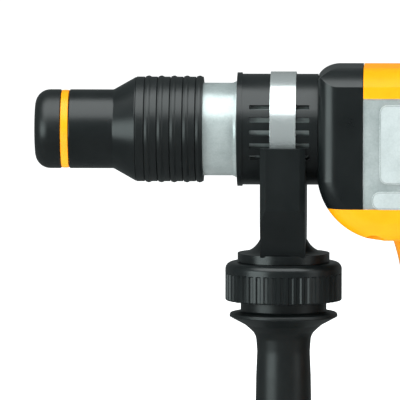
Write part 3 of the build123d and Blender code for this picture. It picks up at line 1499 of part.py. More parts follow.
# side grip: neck, hand guard and rubber handle on the stud
grip_end_round = grip_radius - grip_foot_radius
with BuildPart() as side_grip:
    with BuildSketch(upright(handle_x)):
        with BuildLine():
            Polyline((stud_radius + seat_gap, neck_top), (neck_radius, neck_top),
                     (neck_radius, neck_top - neck_height), (guard_radius - 0.8, guard_level + 1),
                     (guard_radius, guard_level), (guard_radius - 1, guard_level - 1.6))
            ThreePointArc((guard_radius - 1, guard_level - 1.6),
                          (grip_waist_radius + 8.3, guard_level - 6.8),
                          (grip_waist_radius + 0.3, guard_level - 14.6))
            Spline((grip_waist_radius + 0.3, guard_level - 14.6), (grip_waist_radius, guard_level - 20),
                   (grip_radius - 0.6, guard_level - 41), (grip_radius, guard_level - 75))
            Line((grip_radius, guard_level - 75), (grip_radius, base_level + grip_end_round))
            CenterArc((grip_foot_radius, base_level + grip_end_round), grip_end_round, 270, 90)
            Polyline((grip_foot_radius, base_level), (0, base_level), (0, stud_end - 1),
                     (stud_radius + seat_gap, stud_end - 1), (stud_radius + seat_gap, neck_top))
        make_face()
    revolve(axis=Axis((handle_x, 0, 0), (0, 0, 1)))
side_grip.part.label = "side_grip"
export_step(side_grip.part, "parts/side_grip.step")
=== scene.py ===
import logging
import math
from dataclasses import dataclass
from enum import Enum
from typing import Any, Callable, Sequence

import bpy
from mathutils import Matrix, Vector


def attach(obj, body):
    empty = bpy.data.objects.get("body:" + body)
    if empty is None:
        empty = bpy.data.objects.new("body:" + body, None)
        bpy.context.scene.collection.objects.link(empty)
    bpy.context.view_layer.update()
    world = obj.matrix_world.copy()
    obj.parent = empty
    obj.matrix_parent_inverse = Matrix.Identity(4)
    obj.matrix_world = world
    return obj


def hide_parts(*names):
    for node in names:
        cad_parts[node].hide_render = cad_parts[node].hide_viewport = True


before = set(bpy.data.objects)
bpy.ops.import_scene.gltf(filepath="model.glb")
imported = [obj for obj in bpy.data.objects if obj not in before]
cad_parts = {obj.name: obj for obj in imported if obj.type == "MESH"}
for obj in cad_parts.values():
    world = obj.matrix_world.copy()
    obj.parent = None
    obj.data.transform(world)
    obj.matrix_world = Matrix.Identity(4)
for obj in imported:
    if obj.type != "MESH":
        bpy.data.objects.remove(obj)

# Visual model of a demolition hammer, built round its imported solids. X runs back along the
# hammer axis from the tool socket, Z is up, and the sizes below are in millimetres.

MM = 0.001
WELD = 0.002 * MM
SKIN_WELD = 0.001 * MM
FLAT_ANGLE = math.radians(0.2)
STRAIGHT = math.pi - 0.01
LOG = logging.getLogger("hammer")

Object = bpy.types.Object
Colour = tuple[float, float, float]
Corner = tuple[float, ...]


class Turn(Enum):
    """The axis that a turned piece is spun about."""

    HAMMER = (1.0, 0.0, 0.0)
    UPRIGHT = (0.0, 0.0, 1.0)


# ---------------------------------------------------------------- modelling bench
def rounded(corners: Sequence[Corner], step: float = 15.0) -> list[tuple[float, float]]:
    """Rounds the corners of a closed outline.

    Args:
        corners: (u, v) or (u, v, radius) for each corner, in order.
        step: the largest angle between two points of an arc, in degrees.

    Returns:
        The outline's points, with an arc at each corner that has a radius.
    """
    points: list[tuple[float, float]] = []
    count = len(corners)
    for index, corner in enumerate(corners):
        here = Vector(corner[:2])
        radius = corner[2] if len(corner) > 2 else 0.0
        before = (Vector(corners[index - 1][:2]) - here).normalized()
        after = (Vector(corners[(index + 1) % count][:2]) - here).normalized()
        inside = before.angle(after)
        if radius <= 0 or inside > STRAIGHT:
            points.append((here.x, here.y))
            continue
        reach = radius / math.tan(inside / 2)
        middle = here + (before + after).normalized() * radius / math.sin(inside / 2)
        first = here + before * reach - middle
        sweep = math.pi - inside
        parts = max(2, math.ceil(math.degrees(sweep) / step))
        turn = 1.0 if first.x * (after.y * reach + here.y - middle.y) - first.y * (
            after.x * reach + here.x - middle.x) > 0 else -1.0
        for part in range(parts + 1):
            angle = turn * sweep * part / parts
            points.append((
                middle.x + first.x * math.cos(angle) - first.y * math.sin(angle),
                middle.y + first.x * math.sin(angle) + first.y * math.cos(angle),
            ))
    return points


class Bench:
    """The modelling bench: each method is one step done with Blender's own tools."""

    @staticmethod
    def clear() -> None:
        """Leaves edit mode and selects nothing."""
        if bpy.context.object and bpy.context.object.mode != "OBJECT":
            bpy.ops.object.mode_set(mode="OBJECT")
        bpy.ops.object.select_all(action="DESELECT")

    @staticmethod
    def focus(piece: Object) -> None:
        """Makes one piece the only selected and active one.

        Args:
            piece: the piece to work on.
        """
        Bench.clear()
        piece.select_set(True)
        bpy.context.view_layer.objects.active = piece

    @staticmethod
    def chain(name: str, points: Sequence[Vector]) -> Object:
        """Draws a closed run of edges, point by point.

        Args:
            name: the piece's name.
            points: the run's points, in millimetres.

        Returns:
            The new object, in edit mode, with the whole run selected.
        """
        Bench.clear()
        bpy.ops.mesh.primitive_plane_add(size=MM)
        piece = bpy.context.object
        piece.name = name
        bpy.ops.object.mode_set(mode="EDIT")
        bpy.ops.mesh.select_mode(type="VERT")
        bpy.ops.mesh.select_all(action="SELECT")
        bpy.ops.mesh.merge(type="CENTER")
        bpy.ops.transform.translate(value=points[0] * MM)
        for start, end in zip(points, points[1:]):
            bpy.ops.mesh.extrude_region_move(TRANSFORM_OT_translate={"value": (end - start) * MM})
        bpy.ops.object.mode_set(mode="OBJECT")
        last = len(piece.data.vertices) - 1
        for vertex in piece.data.vertices:
            vertex.select = vertex.index in (0, last)
        bpy.ops.object.mode_set(mode="EDIT")
        bpy.ops.mesh.edge_face_add()
        bpy.ops.mesh.select_all(action="SELECT")
        return piece

    @staticmethod
    def turned(name: str, outline: Sequence[tuple[float, float]], axis: Turn, at: float = 0.0,
               steps: int = 144) -> Object:
        """Spins a closed outline about an axis.

        Args:
            name: the piece's name.
            outline: (along, radius) points in millimetres.
            axis: the axis that the outline is spun about.
            at: where an upright axis stands along the hammer axis, in millimetres.
            steps: the number of steps in the turn.

        Returns:
            The turned piece, in object mode.
        """
        if axis is Turn.HAMMER:
            points = [Vector((along, -radius, 0.0)) for along, radius in outline]
        else:
            points = [Vector((at, -radius, along)) for along, radius in outline]
        piece = Bench.chain(name, points)
        bpy.ops.mesh.spin(steps=steps, angle=math.tau, center=(at * MM, 0.0, 0.0), axis=axis.value)
        bpy.ops.mesh.select_all(action="SELECT")
        bpy.ops.mesh.remove_doubles(threshold=WELD)
        bpy.ops.mesh.normals_make_consistent(inside=False)
        bpy.ops.object.mode_set(mode="OBJECT")
        return piece

    @staticmethod
    def slab(name: str, outline: Sequence[tuple[float, float]], near: float, far: float) -> Object:
        """Fills an outline drawn in the side view and gives it a thickness across.

        Args:
            name: the piece's name.
            outline: (x, z) points in millimetres.
            near: the y of the outline's plane, in millimetres.
            far: the y of the other face, in millimetres.

        Returns:
            The slab, in object mode.
        """
        piece = Bench.chain(name, [Vector((x, near, z)) for x, z in outline])
        bpy.ops.mesh.edge_face_add()
        bpy.ops.mesh.extrude_region_move(TRANSFORM_OT_translate={"value": (0.0, (far - near) * MM, 0.0)})
        bpy.ops.mesh.select_all(action="SELECT")
        bpy.ops.mesh.normals_make_consistent(inside=False)
        bpy.ops.object.mode_set(mode="OBJECT")
        return piece

    @staticmethod
    def copy_of(node: str, name: str) -> Object:
        """Copies a solid of the frame, with its loose triangles merged into one skin.

        Args:
            node: the frame's node.
            name: the new piece's name.

        Returns:
            The copy, in object mode.
        """
        Bench.clear()
        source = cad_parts[node]
        piece = bpy.data.objects.new(name, source.data.copy())
        bpy.context.scene.collection.objects.link(piece)
        piece.data.materials.clear()
        Bench.focus(piece)
        if piece.data.has_custom_normals:
            bpy.ops.mesh.customdata_custom_splitnormals_clear()
        bpy.ops.object.mode_set(mode="EDIT")
        bpy.ops.mesh.select_all(action="SELECT")
        bpy.ops.mesh.remove_doubles(threshold=SKIN_WELD)
        bpy.ops.mesh.dissolve_limited(angle_limit=FLAT_ANGLE)
        bpy.ops.object.mode_set(mode="OBJECT")
        return piece

    @staticmethod
    def pick(piece: Object, test: Callable[[Vector, Vector], bool]) -> int:
        """Selects faces by their middle and normal, and stays in edit mode.

        Args:
            piece: the piece whose faces are tested.
            test: says whether a face is taken, from its middle in millimetres and its normal.

        Returns:
            How many faces are selected.
        """
        Bench.focus(piece)
        bpy.ops.object.mode_set(mode="EDIT")
        bpy.ops.mesh.select_mode(type="FACE")
        bpy.ops.mesh.select_all(action="DESELECT")
        bpy.ops.object.mode_set(mode="OBJECT")
        taken = 0
        for face in piece.data.polygons:
            face.select = test(face.center / MM, face.normal)
            taken += face.select
        bpy.ops.object.mode_set(mode="EDIT")
        return taken

    @staticmethod
    def finish(piece: Object, edge: float = 0.0, limit: float = 32.0) -> Object:
        """Softens the sharp edges, smooths the shading and leaves the object unmoved at the origin.

        Args:
            piece: the piece to finish.
            edge: the width of the softened edges, in millimetres.
            limit: the angle from which an edge counts as sharp, in degrees.

        Returns:
            The same piece.
        """
        Bench.focus(piece)
        bpy.ops.object.transform_apply(location=True, rotation=True, scale=True)
        if edge > 0:
            step = piece.modifiers.new("edges", "BEVEL")
            step.width = edge * MM
            step.segments = 2
            step.limit_method = "ANGLE"
            step.angle_limit = math.radians(limit)
            step.use_clamp_overlap = True
            step.harden_normals = False
            bpy.ops.object.modifier_apply(modifier=step.name)
        bpy.ops.object.shade_smooth_by_angle(angle=math.radians(limit))
        step = piece.modifiers.new("flats", "WEIGHTED_NORMAL")
        step.keep_sharp = True
        bpy.ops.object.modifier_apply(modifier=step.name)
        Bench.clear()
        return piece


# ---------------------------------------------------------------- shader graph
class Wire:
    """One output of a shader node, with the arithmetic that the finishes use."""

    def __init__(self, graph: "Graph", socket: Any) -> None:
        """Keeps the output.

        Args:
            graph: the graph that the socket is in.
            socket: the node's output.
        """
        self.graph = graph
        self.socket = socket

    def _math(self, operation: str, first: Any, second: Any) -> "Wire":
        """Adds one Math node.

        Args:
            operation: the node's operation.
            first: its first value or wire.
            second: its second value or wire.

        Returns:
            The node's output.
        """
        return self.graph.node("ShaderNodeMath", {"operation": operation}, {0: first, 1: second})

    def __add__(self, other: Any) -> "Wire":
        """Adds. Args: other: a value or a wire. Returns: the sum."""
        return self._math("ADD", self, other)

    __radd__ = __add__

    def __mul__(self, other: Any) -> "Wire":
        """Multiplies. Args: other: a value or a wire. Returns: the product."""
        return self._math("MULTIPLY", self, other)

    __rmul__ = __mul__

    def __sub__(self, other: Any) -> "Wire":
        """Takes away. Args: other: a value or a wire. Returns: the difference."""
        return self._math("SUBTRACT", self, other)

    def __rsub__(self, other: Any) -> "Wire":
        """Takes the wire away. Args: other: a value or a wire. Returns: the difference."""
        return self._math("SUBTRACT", other, self)


class Graph:
    """A material's node tree, filled through one method."""

    def __init__(self, name: str) -> None:
        """Starts an empty graph.

        Args:
            name: the material's name.
        """
        self.material = bpy.data.materials.new(name)
        self.material.use_nodes = True
        self.tree = self.material.node_tree
        self.tree.nodes.clear()

    def node(self, kind: str, settings: dict[str, Any], inputs: dict[Any, Any], output: Any = 0) -> Wire:
        """Adds a node.

        Args:
            kind: the node's type.
            settings: its settings, which are set first; a ramp's stops are under "stops".
            inputs: a value or a wire for each of its sockets.
            output: the output that is wanted.

        Returns:
            That output.
        """
        made = self.tree.nodes.new(kind)
        for key, value in settings.items():
            if key == "stops":
                ramp = made.color_ramp
                while len(ramp.elements) < len(value):
                    ramp.elements.new(0.5)
                for element, (place, colour) in zip(ramp.elements, value):
                    element.position = place
                    element.color = colour if len(colour) == 4 else (*colour, 1.0)
            else:
                setattr(made, key, value)
        for key, value in inputs.items():
            if isinstance(value, Wire):
                self.tree.links.new(value.socket, made.inputs[key])
            else:
                made.inputs[key].default_value = value
        return Wire(self, made.outputs[output])

    def close(self, surface: Wire) -> None:
        """Ends the graph.

        Args:
            surface: the shader that the material shows.
        """
        end = self.tree.nodes.new("ShaderNodeOutputMaterial")
        self.tree.links.new(surface.socket, end.inputs["Surface"])


BROAD_SHARE = 0.7
SPREAD_LOW, SPREAD_HIGH = 0.34, 0.66
# The edge term lightens sharp edges towards a lighter colour: edge wear, and on the cast aluminium and its
# pads a painted highlight along the rims.
RIM_SAMPLES = 4
RIM_RADIUS = 0.6 * MM
RIM_GAIN = 12.0
RIM_LOW, RIM_HIGH = 0.1, 0.9
RIM_ROUGH = 0.1


@dataclass(frozen=True)
class Finish:
    """A surface finish: two shades mottled together, a fine grain, and lightened edges that stand for edge
    wear and, on the cast aluminium and its pads, a painted highlight along the rims.
    """

    name: str
    shade: Colour
    tint: Colour
    rough: tuple[float, float]
    mottle: float = 60.0
    grain: float = 1800.0
    depth: float = 0.02
    strength: float = 0.3
    metallic: float = 0.0
    specular: float = 0.5
    coat: float = 0.0
    rim_wear_and_sheen: float = 0.0
    rim_wear_and_sheen_colour: Colour = (0.5, 0.5, 0.5)
    stretch: Colour = (1.0, 1.0, 1.0)

    def build(self) -> bpy.types.Material:
        """Makes the material.

        Returns:
            The new material.
        """
        graph = Graph(self.name)
        place = graph.node("ShaderNodeTexCoord", {}, {}, "Object")
        lay = graph.node("ShaderNodeMapping", {}, {"Vector": place, "Scale": self.stretch})
        broad = graph.node("ShaderNodeTexNoise", {}, {
            "Vector": place, "Scale": self.mottle, "Detail": 6.0, "Roughness": 0.6})
        fine = graph.node("ShaderNodeTexNoise", {}, {
            "Vector": lay, "Scale": self.grain, "Detail": 3.0, "Roughness": 0.55})
        spread = graph.node("ShaderNodeMapRange", {}, {
            "Value": broad * BROAD_SHARE + fine * (1.0 - BROAD_SHARE),
            "From Min": SPREAD_LOW, "From Max": SPREAD_HIGH})
        colour = graph.node("ShaderNodeMix", {"data_type": "RGBA"}, {
            0: spread, 6: (*self.shade, 1.0), 7: (*self.tint, 1.0)}, 2)
        low, high = self.rough
        rough = spread * (high - low) + low
        # Lightened edges: edge wear, and a painted rim highlight where the edge colour is near white.
        if self.rim_wear_and_sheen > 0:
            softened = graph.node("ShaderNodeBevel", {"samples": RIM_SAMPLES}, {"Radius": RIM_RADIUS})
            flat = graph.node("ShaderNodeNewGeometry", {}, {}, "Normal")
            agree = graph.node("ShaderNodeVectorMath", {"operation": "DOT_PRODUCT"},
                               {0: softened, 1: flat}, 1)
            edge = graph.node("ShaderNodeMapRange", {}, {
                "Value": (1.0 - agree) * RIM_GAIN * spread,
                "From Min": RIM_LOW, "From Max": RIM_HIGH}) * self.rim_wear_and_sheen
            colour = graph.node("ShaderNodeMix", {"data_type": "RGBA"}, {
                0: edge, 6: colour, 7: (*self.rim_wear_and_sheen_colour, 1.0)}, 2)
            rough = rough + edge * RIM_ROUGH
        bump = graph.node("ShaderNodeBump", {}, {
            "Strength": self.strength, "Distance": self.depth * MM, "Height": fine})
        surface = graph.node("ShaderNodeBsdfPrincipled", {}, {
            "Base Color": colour, "Roughness": rough, "Normal": bump, "Metallic": self.metallic,
            "Specular IOR Level": self.specular, "Coat Weight": self.coat})
        graph.close(surface)
        return graph.material


FINISHES: dict[str, Finish] = {
    "black_plastic": Finish("moulded_black", (0.0038, 0.0052, 0.0056), (0.0065, 0.0084, 0.0088),
                            (0.27, 0.34), grain=2600.0, depth=0.03, specular=0.44, rim_wear_and_sheen=0.2,
                            rim_wear_and_sheen_colour=(0.03, 0.036, 0.036)),
    "yellow_plastic": Finish("moulded_yellow", (0.86, 0.300, 0.001), (0.94, 0.345, 0.0015), (0.34, 0.44),
                             grain=2400.0, depth=0.03, specular=0.16, rim_wear_and_sheen=0.25,
                             rim_wear_and_sheen_colour=(1.0, 0.60, 0.05)),
    "orange_plastic": Finish("moulded_orange", (0.97, 0.30, 0.002), (1.0, 0.36, 0.003), (0.32, 0.42),
                             grain=2400.0, depth=0.02, specular=0.3),
    "black_rubber": Finish("moulded_rubber", (0.0042, 0.0056, 0.0059), (0.007, 0.009, 0.0093), (0.33, 0.42),
                           grain=1500.0, depth=0.05, specular=0.46, rim_wear_and_sheen=0.15, rim_wear_and_sheen_colour=(0.025, 0.03, 0.03)),
    "cast_aluminium": Finish("cast_aluminium", (0.33, 0.375, 0.375), (0.50, 0.545, 0.54), (0.28, 0.40),
                             mottle=60.0, grain=900.0, depth=0.06, strength=0.35, metallic=0.45,
                             rim_wear_and_sheen=0.8, rim_wear_and_sheen_colour=(0.98, 1.0, 1.0)),
    # Lighter copy of the cast aluminium for the raised pads: a painted highlight on their faces, with
    # near-white edges as a painted highlight on their rims.
    "lit_cast_pad": Finish("cast_aluminium_pad_painted_highlight", (0.50, 0.55, 0.55), (0.66, 0.71, 0.71), (0.28, 0.40),
                       mottle=45.0, grain=900.0, depth=0.05, strength=0.3, metallic=0.4,
                       rim_wear_and_sheen=0.9, rim_wear_and_sheen_colour=(1.0, 1.0, 1.0)),
    "band_steel": Finish("rolled_steel_band", (0.66, 0.70, 0.70), (0.76, 0.79, 0.79), (0.20, 0.26),
                         mottle=30.0, grain=500.0, depth=0.004, strength=0.15, metallic=0.8,
                         stretch=(6.0, 0.12, 0.12)),
    "machined_steel": Finish("ground_steel", (0.46, 0.48, 0.49), (0.62, 0.64, 0.65), (0.20, 0.32),
                         grain=900.0, depth=0.01, metallic=1.0, stretch=(4.0, 0.3, 0.3)),
    "dark_steel": Finish("blackened_steel", (0.035, 0.037, 0.04), (0.09, 0.09, 0.095), (0.30, 0.42),
                         grain=1200.0, depth=0.02, metallic=0.9, rim_wear_and_sheen=0.6, rim_wear_and_sheen_colour=(0.45, 0.46, 0.47)),
    "lamination_steel": Finish("laminated_steel", (0.16, 0.17, 0.18), (0.34, 0.35, 0.36), (0.35, 0.5),
                               grain=300.0, depth=0.05, metallic=0.9, stretch=(0.05, 0.05, 6.0)),
    "copper": Finish("enamelled_copper", (0.42, 0.12, 0.035), (0.75, 0.28, 0.10), (0.25, 0.4),
                     grain=800.0, depth=0.04, metallic=0.95, stretch=(1.0, 1.0, 0.2)),
    "bronze": Finish("bearing_bronze", (0.42, 0.26, 0.10), (0.62, 0.42, 0.18), (0.28, 0.42), depth=0.02,
                     metallic=0.95),
    "carbon": Finish("pressed_carbon", (0.02, 0.02, 0.021), (0.05, 0.05, 0.052), (0.45, 0.6), depth=0.04),
    "fan_plastic": Finish("fan_plastic", (0.03, 0.031, 0.033), (0.05, 0.052, 0.055), (0.4, 0.5),
                          depth=0.02),
    "nitrile": Finish("nitrile_rubber", (0.012, 0.012, 0.012), (0.025, 0.025, 0.025), (0.5, 0.62),
                      depth=0.02),
}


class Paintshop:
    """Builds each finish once and puts it on pieces and on the frame's own solids."""

    def __init__(self) -> None:
        """Builds every finish."""
        self.made = {slot: finish.build() for slot, finish in FINISHES.items()}

    def coat(self, piece: Object, slot: str, finish: str = "") -> None:
        """Puts a finish on a piece.

        Args:
            piece: the piece.
            slot: the record's material slot.
            finish: the finish's own name, where it isn't the slot's.
        """
        piece.data.materials.clear()
        piece.data.materials.append(self.made[finish or slot])

    def coat_frame(self) -> None:
        """Gives every solid of the frame the procedural finish of its own slot."""
        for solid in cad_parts.values():
            for holder in solid.material_slots:
                slot = holder.material.name.split(".")[0]
                holder.material = self.made[slot]


@dataclass
class Assembly:
    """What every sub-assembly shares: the paint shop, and how a piece joins the machine."""

    paint: Paintshop

    def fit(self, piece: Object, body: str, slot: str, *nodes: str) -> Object:
        """Coats a finished piece, mounts it on a body and lets it stand for solids of the frame.

        Args:
            piece: the finished piece.
            body: the body that it moves with.
            slot: the record's material slot.
            nodes: the frame's nodes that it stands for.

        Returns:
            The same piece.
        """
        self.paint.coat(piece, slot)
        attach(piece, body)
        if nodes:
            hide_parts(*nodes)
        LOG.info("%s on %s, %d faces", piece.name, body, len(piece.data.polygons))
        return piece

    def soften(self, node: str, body: str, slot: str, edge: float, limit: float = 32.0) -> Object:
        """Replaces a solid by its own skin with softened edges.

        Args:
            node: the frame's node.
            body: the body that it moves with.
            slot: the record's material slot.
            edge: the width of the softened edges, in millimetres.
            limit: the angle from which an edge counts as sharp, in degrees.

        Returns:
            The new piece.
        """
        piece = Bench.finish(Bench.copy_of(node, f"{node}_skin"), edge, limit)
        return self.fit(piece, body, slot, node)


@dataclass
class Nose(Assembly):
    """Dust cap, coloured ring, lock sleeve and its ribbed rubber grip."""

    cap_front: float = -5.0
    cap_back: float = 11.9
    cap_radius: float = 25.7
    cap_face: float = 15.8
    mouth: float = 9.6
    bore: float = 15.03
    cap_wall: float = 4.9
    lip_sink: float = 1.0
    lip_inner: float = 2.6
    lip_outer: float = 3.2
    ring_crown: float = 0.15
    ring_wall: float = 3.0
    ring_web: float = 2.4
    ring_front: float = 12.2
    ring_width: float = 4.9
    ring_radius: float = 25.4
    sleeve_front: float = 17.4
    cone_front: float = 46.1
    boot_front: float = 61.0
    boot_end: float = 104.6
    boot_radius: float = 34.1
    boot_wall: float = 1.8
    skirt_wall: float = 1.4
    sleeve_wall: float = 2.4
    guide_end: float = 50.1
    beads: int = 5
    bead_pitch: float = 8.3
    bead_first: float = 102.3
    bead_half: float = 2.1
    bead_height: float = 0.7
    crease_width: float = 0.7
    crease_depth: float = 0.75

    def dust_cap(self) -> Object:
        """Turns the rubber cap: a domed face with a lip round its mouth.

        Returns:
            The cap.
        """
        dome = self.cap_radius - self.cap_face - 0.1
        outline = rounded([
            (self.cap_front, self.mouth + self.lip_outer, 0.5),
            (self.cap_front + 0.05, self.cap_radius, dome),
            (self.cap_back, self.cap_radius, 0.6),
            (self.cap_back, self.bore),
            (self.cap_front + self.cap_wall, self.bore),
            (self.cap_front + self.cap_wall, self.mouth),
            (self.cap_front + self.lip_sink, self.mouth, 0.7),
            (self.cap_front + self.lip_sink, self.mouth + self.lip_inner, 0.5),
        ], 9.0)
        piece = Bench.turned("dust_cap_rubber", outline, Turn.HAMMER)
        return self.fit(Bench.finish(piece), "tool_spindle", "black_rubber", "dust_cap")

    def ring(self) -> Object:
        """Turns the coloured ring, with soft shoulders and an open back.

        Returns:
            The ring.
        """
        back = self.ring_front + self.ring_width
        outline = rounded([
            (self.ring_front, self.bore),
            (self.ring_front, self.ring_radius - self.ring_crown, 0.5),
            (self.ring_front + self.ring_width / 2, self.ring_radius, 6.0),
            (back, self.ring_radius - self.ring_crown, 0.5),
            (back, self.ring_radius - self.ring_wall),
            (back - self.ring_web, self.ring_radius - self.ring_wall),
            (back - self.ring_web, self.bore + self.ring_wall),
            (back, self.bore + self.ring_wall),
            (back, self.bore),
        ])
        piece = Bench.turned("coloured_ring", outline, Turn.HAMMER)
        return self.fit(Bench.finish(piece), "tool_spindle", "orange_plastic", "colour_ring")

    def sleeve(self) -> Object:
        """Turns the lock sleeve: a straight nose, a cone and the seat of its rubber grip.

        Returns:
            The sleeve.
        """
        seat = self.boot_radius - self.boot_wall
        skirt = seat - self.skirt_wall
        end = self.boot_end - self.boot_wall
        nose = self.cap_radius - self.sleeve_wall
        outline = rounded([
            (self.sleeve_front, self.bore + 0.03),
            (self.sleeve_front, self.cap_radius, 0.8),
            (self.cone_front, self.cap_radius, 3.0),
            (self.boot_front, self.boot_radius, 0.5),
            (self.boot_front, seat),
            (end, seat),
            (end, skirt),
            (self.boot_front, skirt),
            (self.guide_end, nose),
            (self.sleeve_front + self.sleeve_wall, nose),
            (self.sleeve_front + self.sleeve_wall, self.bore + 0.03),
        ], 6.0)
        piece = Bench.turned("lock_sleeve_shell", outline, Turn.HAMMER)
        return self.fit(Bench.finish(piece), "sleeve", "black_plastic", "lock_sleeve")

    def grip(self) -> Object:
        """Turns the rubber grip, with a raised bead and a crease ahead of it, five times over.

        Returns:
            The grip.
        """
        seat = self.boot_radius - self.boot_wall
        skirt = seat - self.skirt_wall
        end = self.boot_end - self.boot_wall
        outline: list[Corner] = [(self.boot_front, seat + 0.02), (self.boot_front, self.boot_radius, 0.4)]
        for bead in reversed(range(self.beads)):
            middle = self.bead_first - bead * self.bead_pitch
            start = middle - self.bead_half
            outline += [
                (start - self.crease_width, self.boot_radius, 0.35),
                (start - self.crease_width * 0.6, self.boot_radius - self.crease_depth, 0.15),
                (start - self.crease_width * 0.4, self.boot_radius - self.crease_depth, 0.15),
                (start, self.boot_radius + 0.1, 0.2),
                (middle - 0.5, self.boot_radius + self.bead_height, 1.6),
                (middle + 0.5, self.boot_radius + self.bead_height, 1.6),
                (middle + self.bead_half * 0.8, self.boot_radius, 1.2),
            ]
        outline += [
            (self.boot_end, self.boot_radius, 0.3),
            (self.boot_end, skirt, 0.3),
            (end + 0.02, skirt),
            (end + 0.02, seat + 0.02),
        ]
        outline = [corner for corner in outline if corner[0] <= self.boot_end]
        piece = Bench.turned("sleeve_grip_rubber", rounded(outline), Turn.HAMMER)
        return self.fit(Bench.finish(piece), "sleeve", "black_rubber", "sleeve_grip")

    def build(self) -> None:
        """Builds the whole nose."""
        self.dust_cap()
        self.ring()
        self.sleeve()
        self.grip()


@dataclass
class Barrel(Assembly):
    """The cast barrel, the slotted vent sleeve round it and the handle's steel band."""

    def build(self) -> None:
        """Builds the barrel's skins."""
        self.soften("barrel", "machine", "cast_aluminium", 0.5)
        self.soften("vent_sleeve", "machine", "black_plastic", 0.3)
        self.soften("handle_band", "side_handle", "band_steel", 0.25)


@dataclass
class SideHandle(Assembly):
    """Bracket, clamp wheel and side grip on an upright stud."""

    stud_x: float = 156.7
    wheel_top: float = -86.5
    wheel_height: float = 25.0
    wheel_radius: float = 38.0
    wheel_edge: float = 4.5
    wheel_hub: float = 11.0
    stud: float = 4.05
    grooves: int = 44
    groove_steps: int = 6
    groove_depth: float = 0.9
    groove_drop: float = 6.5
    hollow_depth: float = 12.0
    rim_width: float = 4.0
    rim_draft: float = 1.0
    neck_radius: float = 28.0
    guard_radius: float = 35.4
    grip_end: float = -225.0
    grip_gap: float = 0.3
    neck_height: float = 9.0
    stud_end: float = -151.0

    def wheel(self) -> Object:
        """Turns the clamp wheel and presses its finger grooves in.

        Returns:
            The wheel.
        """
        bottom = self.wheel_top - self.wheel_height
        outline = rounded([
            (self.wheel_top, self.stud),
            (self.wheel_top, self.wheel_radius, self.wheel_edge),
            (self.wheel_top - self.groove_drop, self.wheel_radius),
            (self.wheel_top - self.groove_drop - 0.5, self.wheel_radius),
            (self.wheel_top - self.groove_drop - 1.2, self.wheel_radius),
            (bottom + 1.0, self.wheel_radius),
            (bottom, self.wheel_radius, 0.9),
            (bottom, self.wheel_radius - self.rim_width, 0.5),
            (bottom + self.hollow_depth, self.wheel_radius - self.rim_width - self.rim_draft, 1.5),
            (bottom + self.hollow_depth, self.wheel_hub, 1.5),
            (bottom, self.wheel_hub - self.rim_draft, 0.5),
            (bottom, self.stud),
        ], 10.0)
        steps = self.grooves * self.groove_steps
        piece = Bench.turned("clamp_wheel_ring", outline, Turn.UPRIGHT, self.stud_x, steps)
        pitch = math.tau / self.grooves
        first = self.wheel_top - self.groove_drop - 1.0

        def grooved(point: Vector) -> bool:
            """Says whether a point lies on a groove's floor.

            Args:
                point: the point, in millimetres.

            Returns:
                True on a groove's floor.
            """
            angle = math.atan2(point.y, point.x - self.stud_x) % pitch
            reach = math.hypot(point.x - self.stud_x, point.y)
            return (reach > self.wheel_radius - 1.2 and point.z < first
                    and min(angle, pitch - angle) < pitch / self.groove_steps * 1.1)

        Bench.focus(piece)
        bpy.ops.object.mode_set(mode="EDIT")
        bpy.ops.mesh.select_mode(type="VERT")
        bpy.ops.mesh.select_all(action="DESELECT")
        bpy.ops.object.mode_set(mode="OBJECT")
        for vertex in piece.data.vertices:
            vertex.select = grooved(vertex.co / MM)
        bpy.ops.object.mode_set(mode="EDIT")
        shrink = 1.0 - self.groove_depth / self.wheel_radius
        bpy.ops.transform.resize(value=(shrink, shrink, 1.0), center_override=(self.stud_x * MM, 0.0, 0.0))
        bpy.ops.object.mode_set(mode="OBJECT")
        return self.fit(Bench.finish(piece, 0.0, 28.0), "wheel", "black_plastic", "clamp_wheel")

    def grip(self) -> Object:
        """Turns the side grip: a neck, a hand guard and a long waisted handle.

        Returns:
            The grip.
        """
        top = self.wheel_top - self.wheel_height - self.grip_gap
        guard = top - self.neck_height
        outline = rounded([
            (top, self.stud),
            (top, self.neck_radius, 0.8),
            (top - 6.7, self.neck_radius, 1.5),
            (guard + 1.0, self.guard_radius - 0.6, 0.8),
            (guard - 1.2, self.guard_radius, 0.9),
            (guard - 6.8, 25.0, 8.0),
            (guard - 13.0, 18.1, 9.0),
            (guard - 24.0, 17.2, 30.0),
            (guard - 40.0, 17.9, 40.0),
            (guard - 75.0, 18.5, 60.0),
            (self.grip_end + 7.0, 18.5, 3.0),
            (self.grip_end, 16.0, 5.0),
            (self.grip_end, 0.0),
            (self.stud_end, 0.0),
            (self.stud_end, self.stud),
        ], 6.0)
        piece = Bench.turned("side_grip_rubber", outline, Turn.UPRIGHT, self.stud_x)
        return self.fit(Bench.finish(piece), "side_handle", "black_rubber", "side_grip")

    def build(self) -> None:
        """Builds the whole side handle."""
        self.soften("handle_bracket", "side_handle", "black_plastic", 0.7, 24.0)
        self.wheel()
        self.grip()


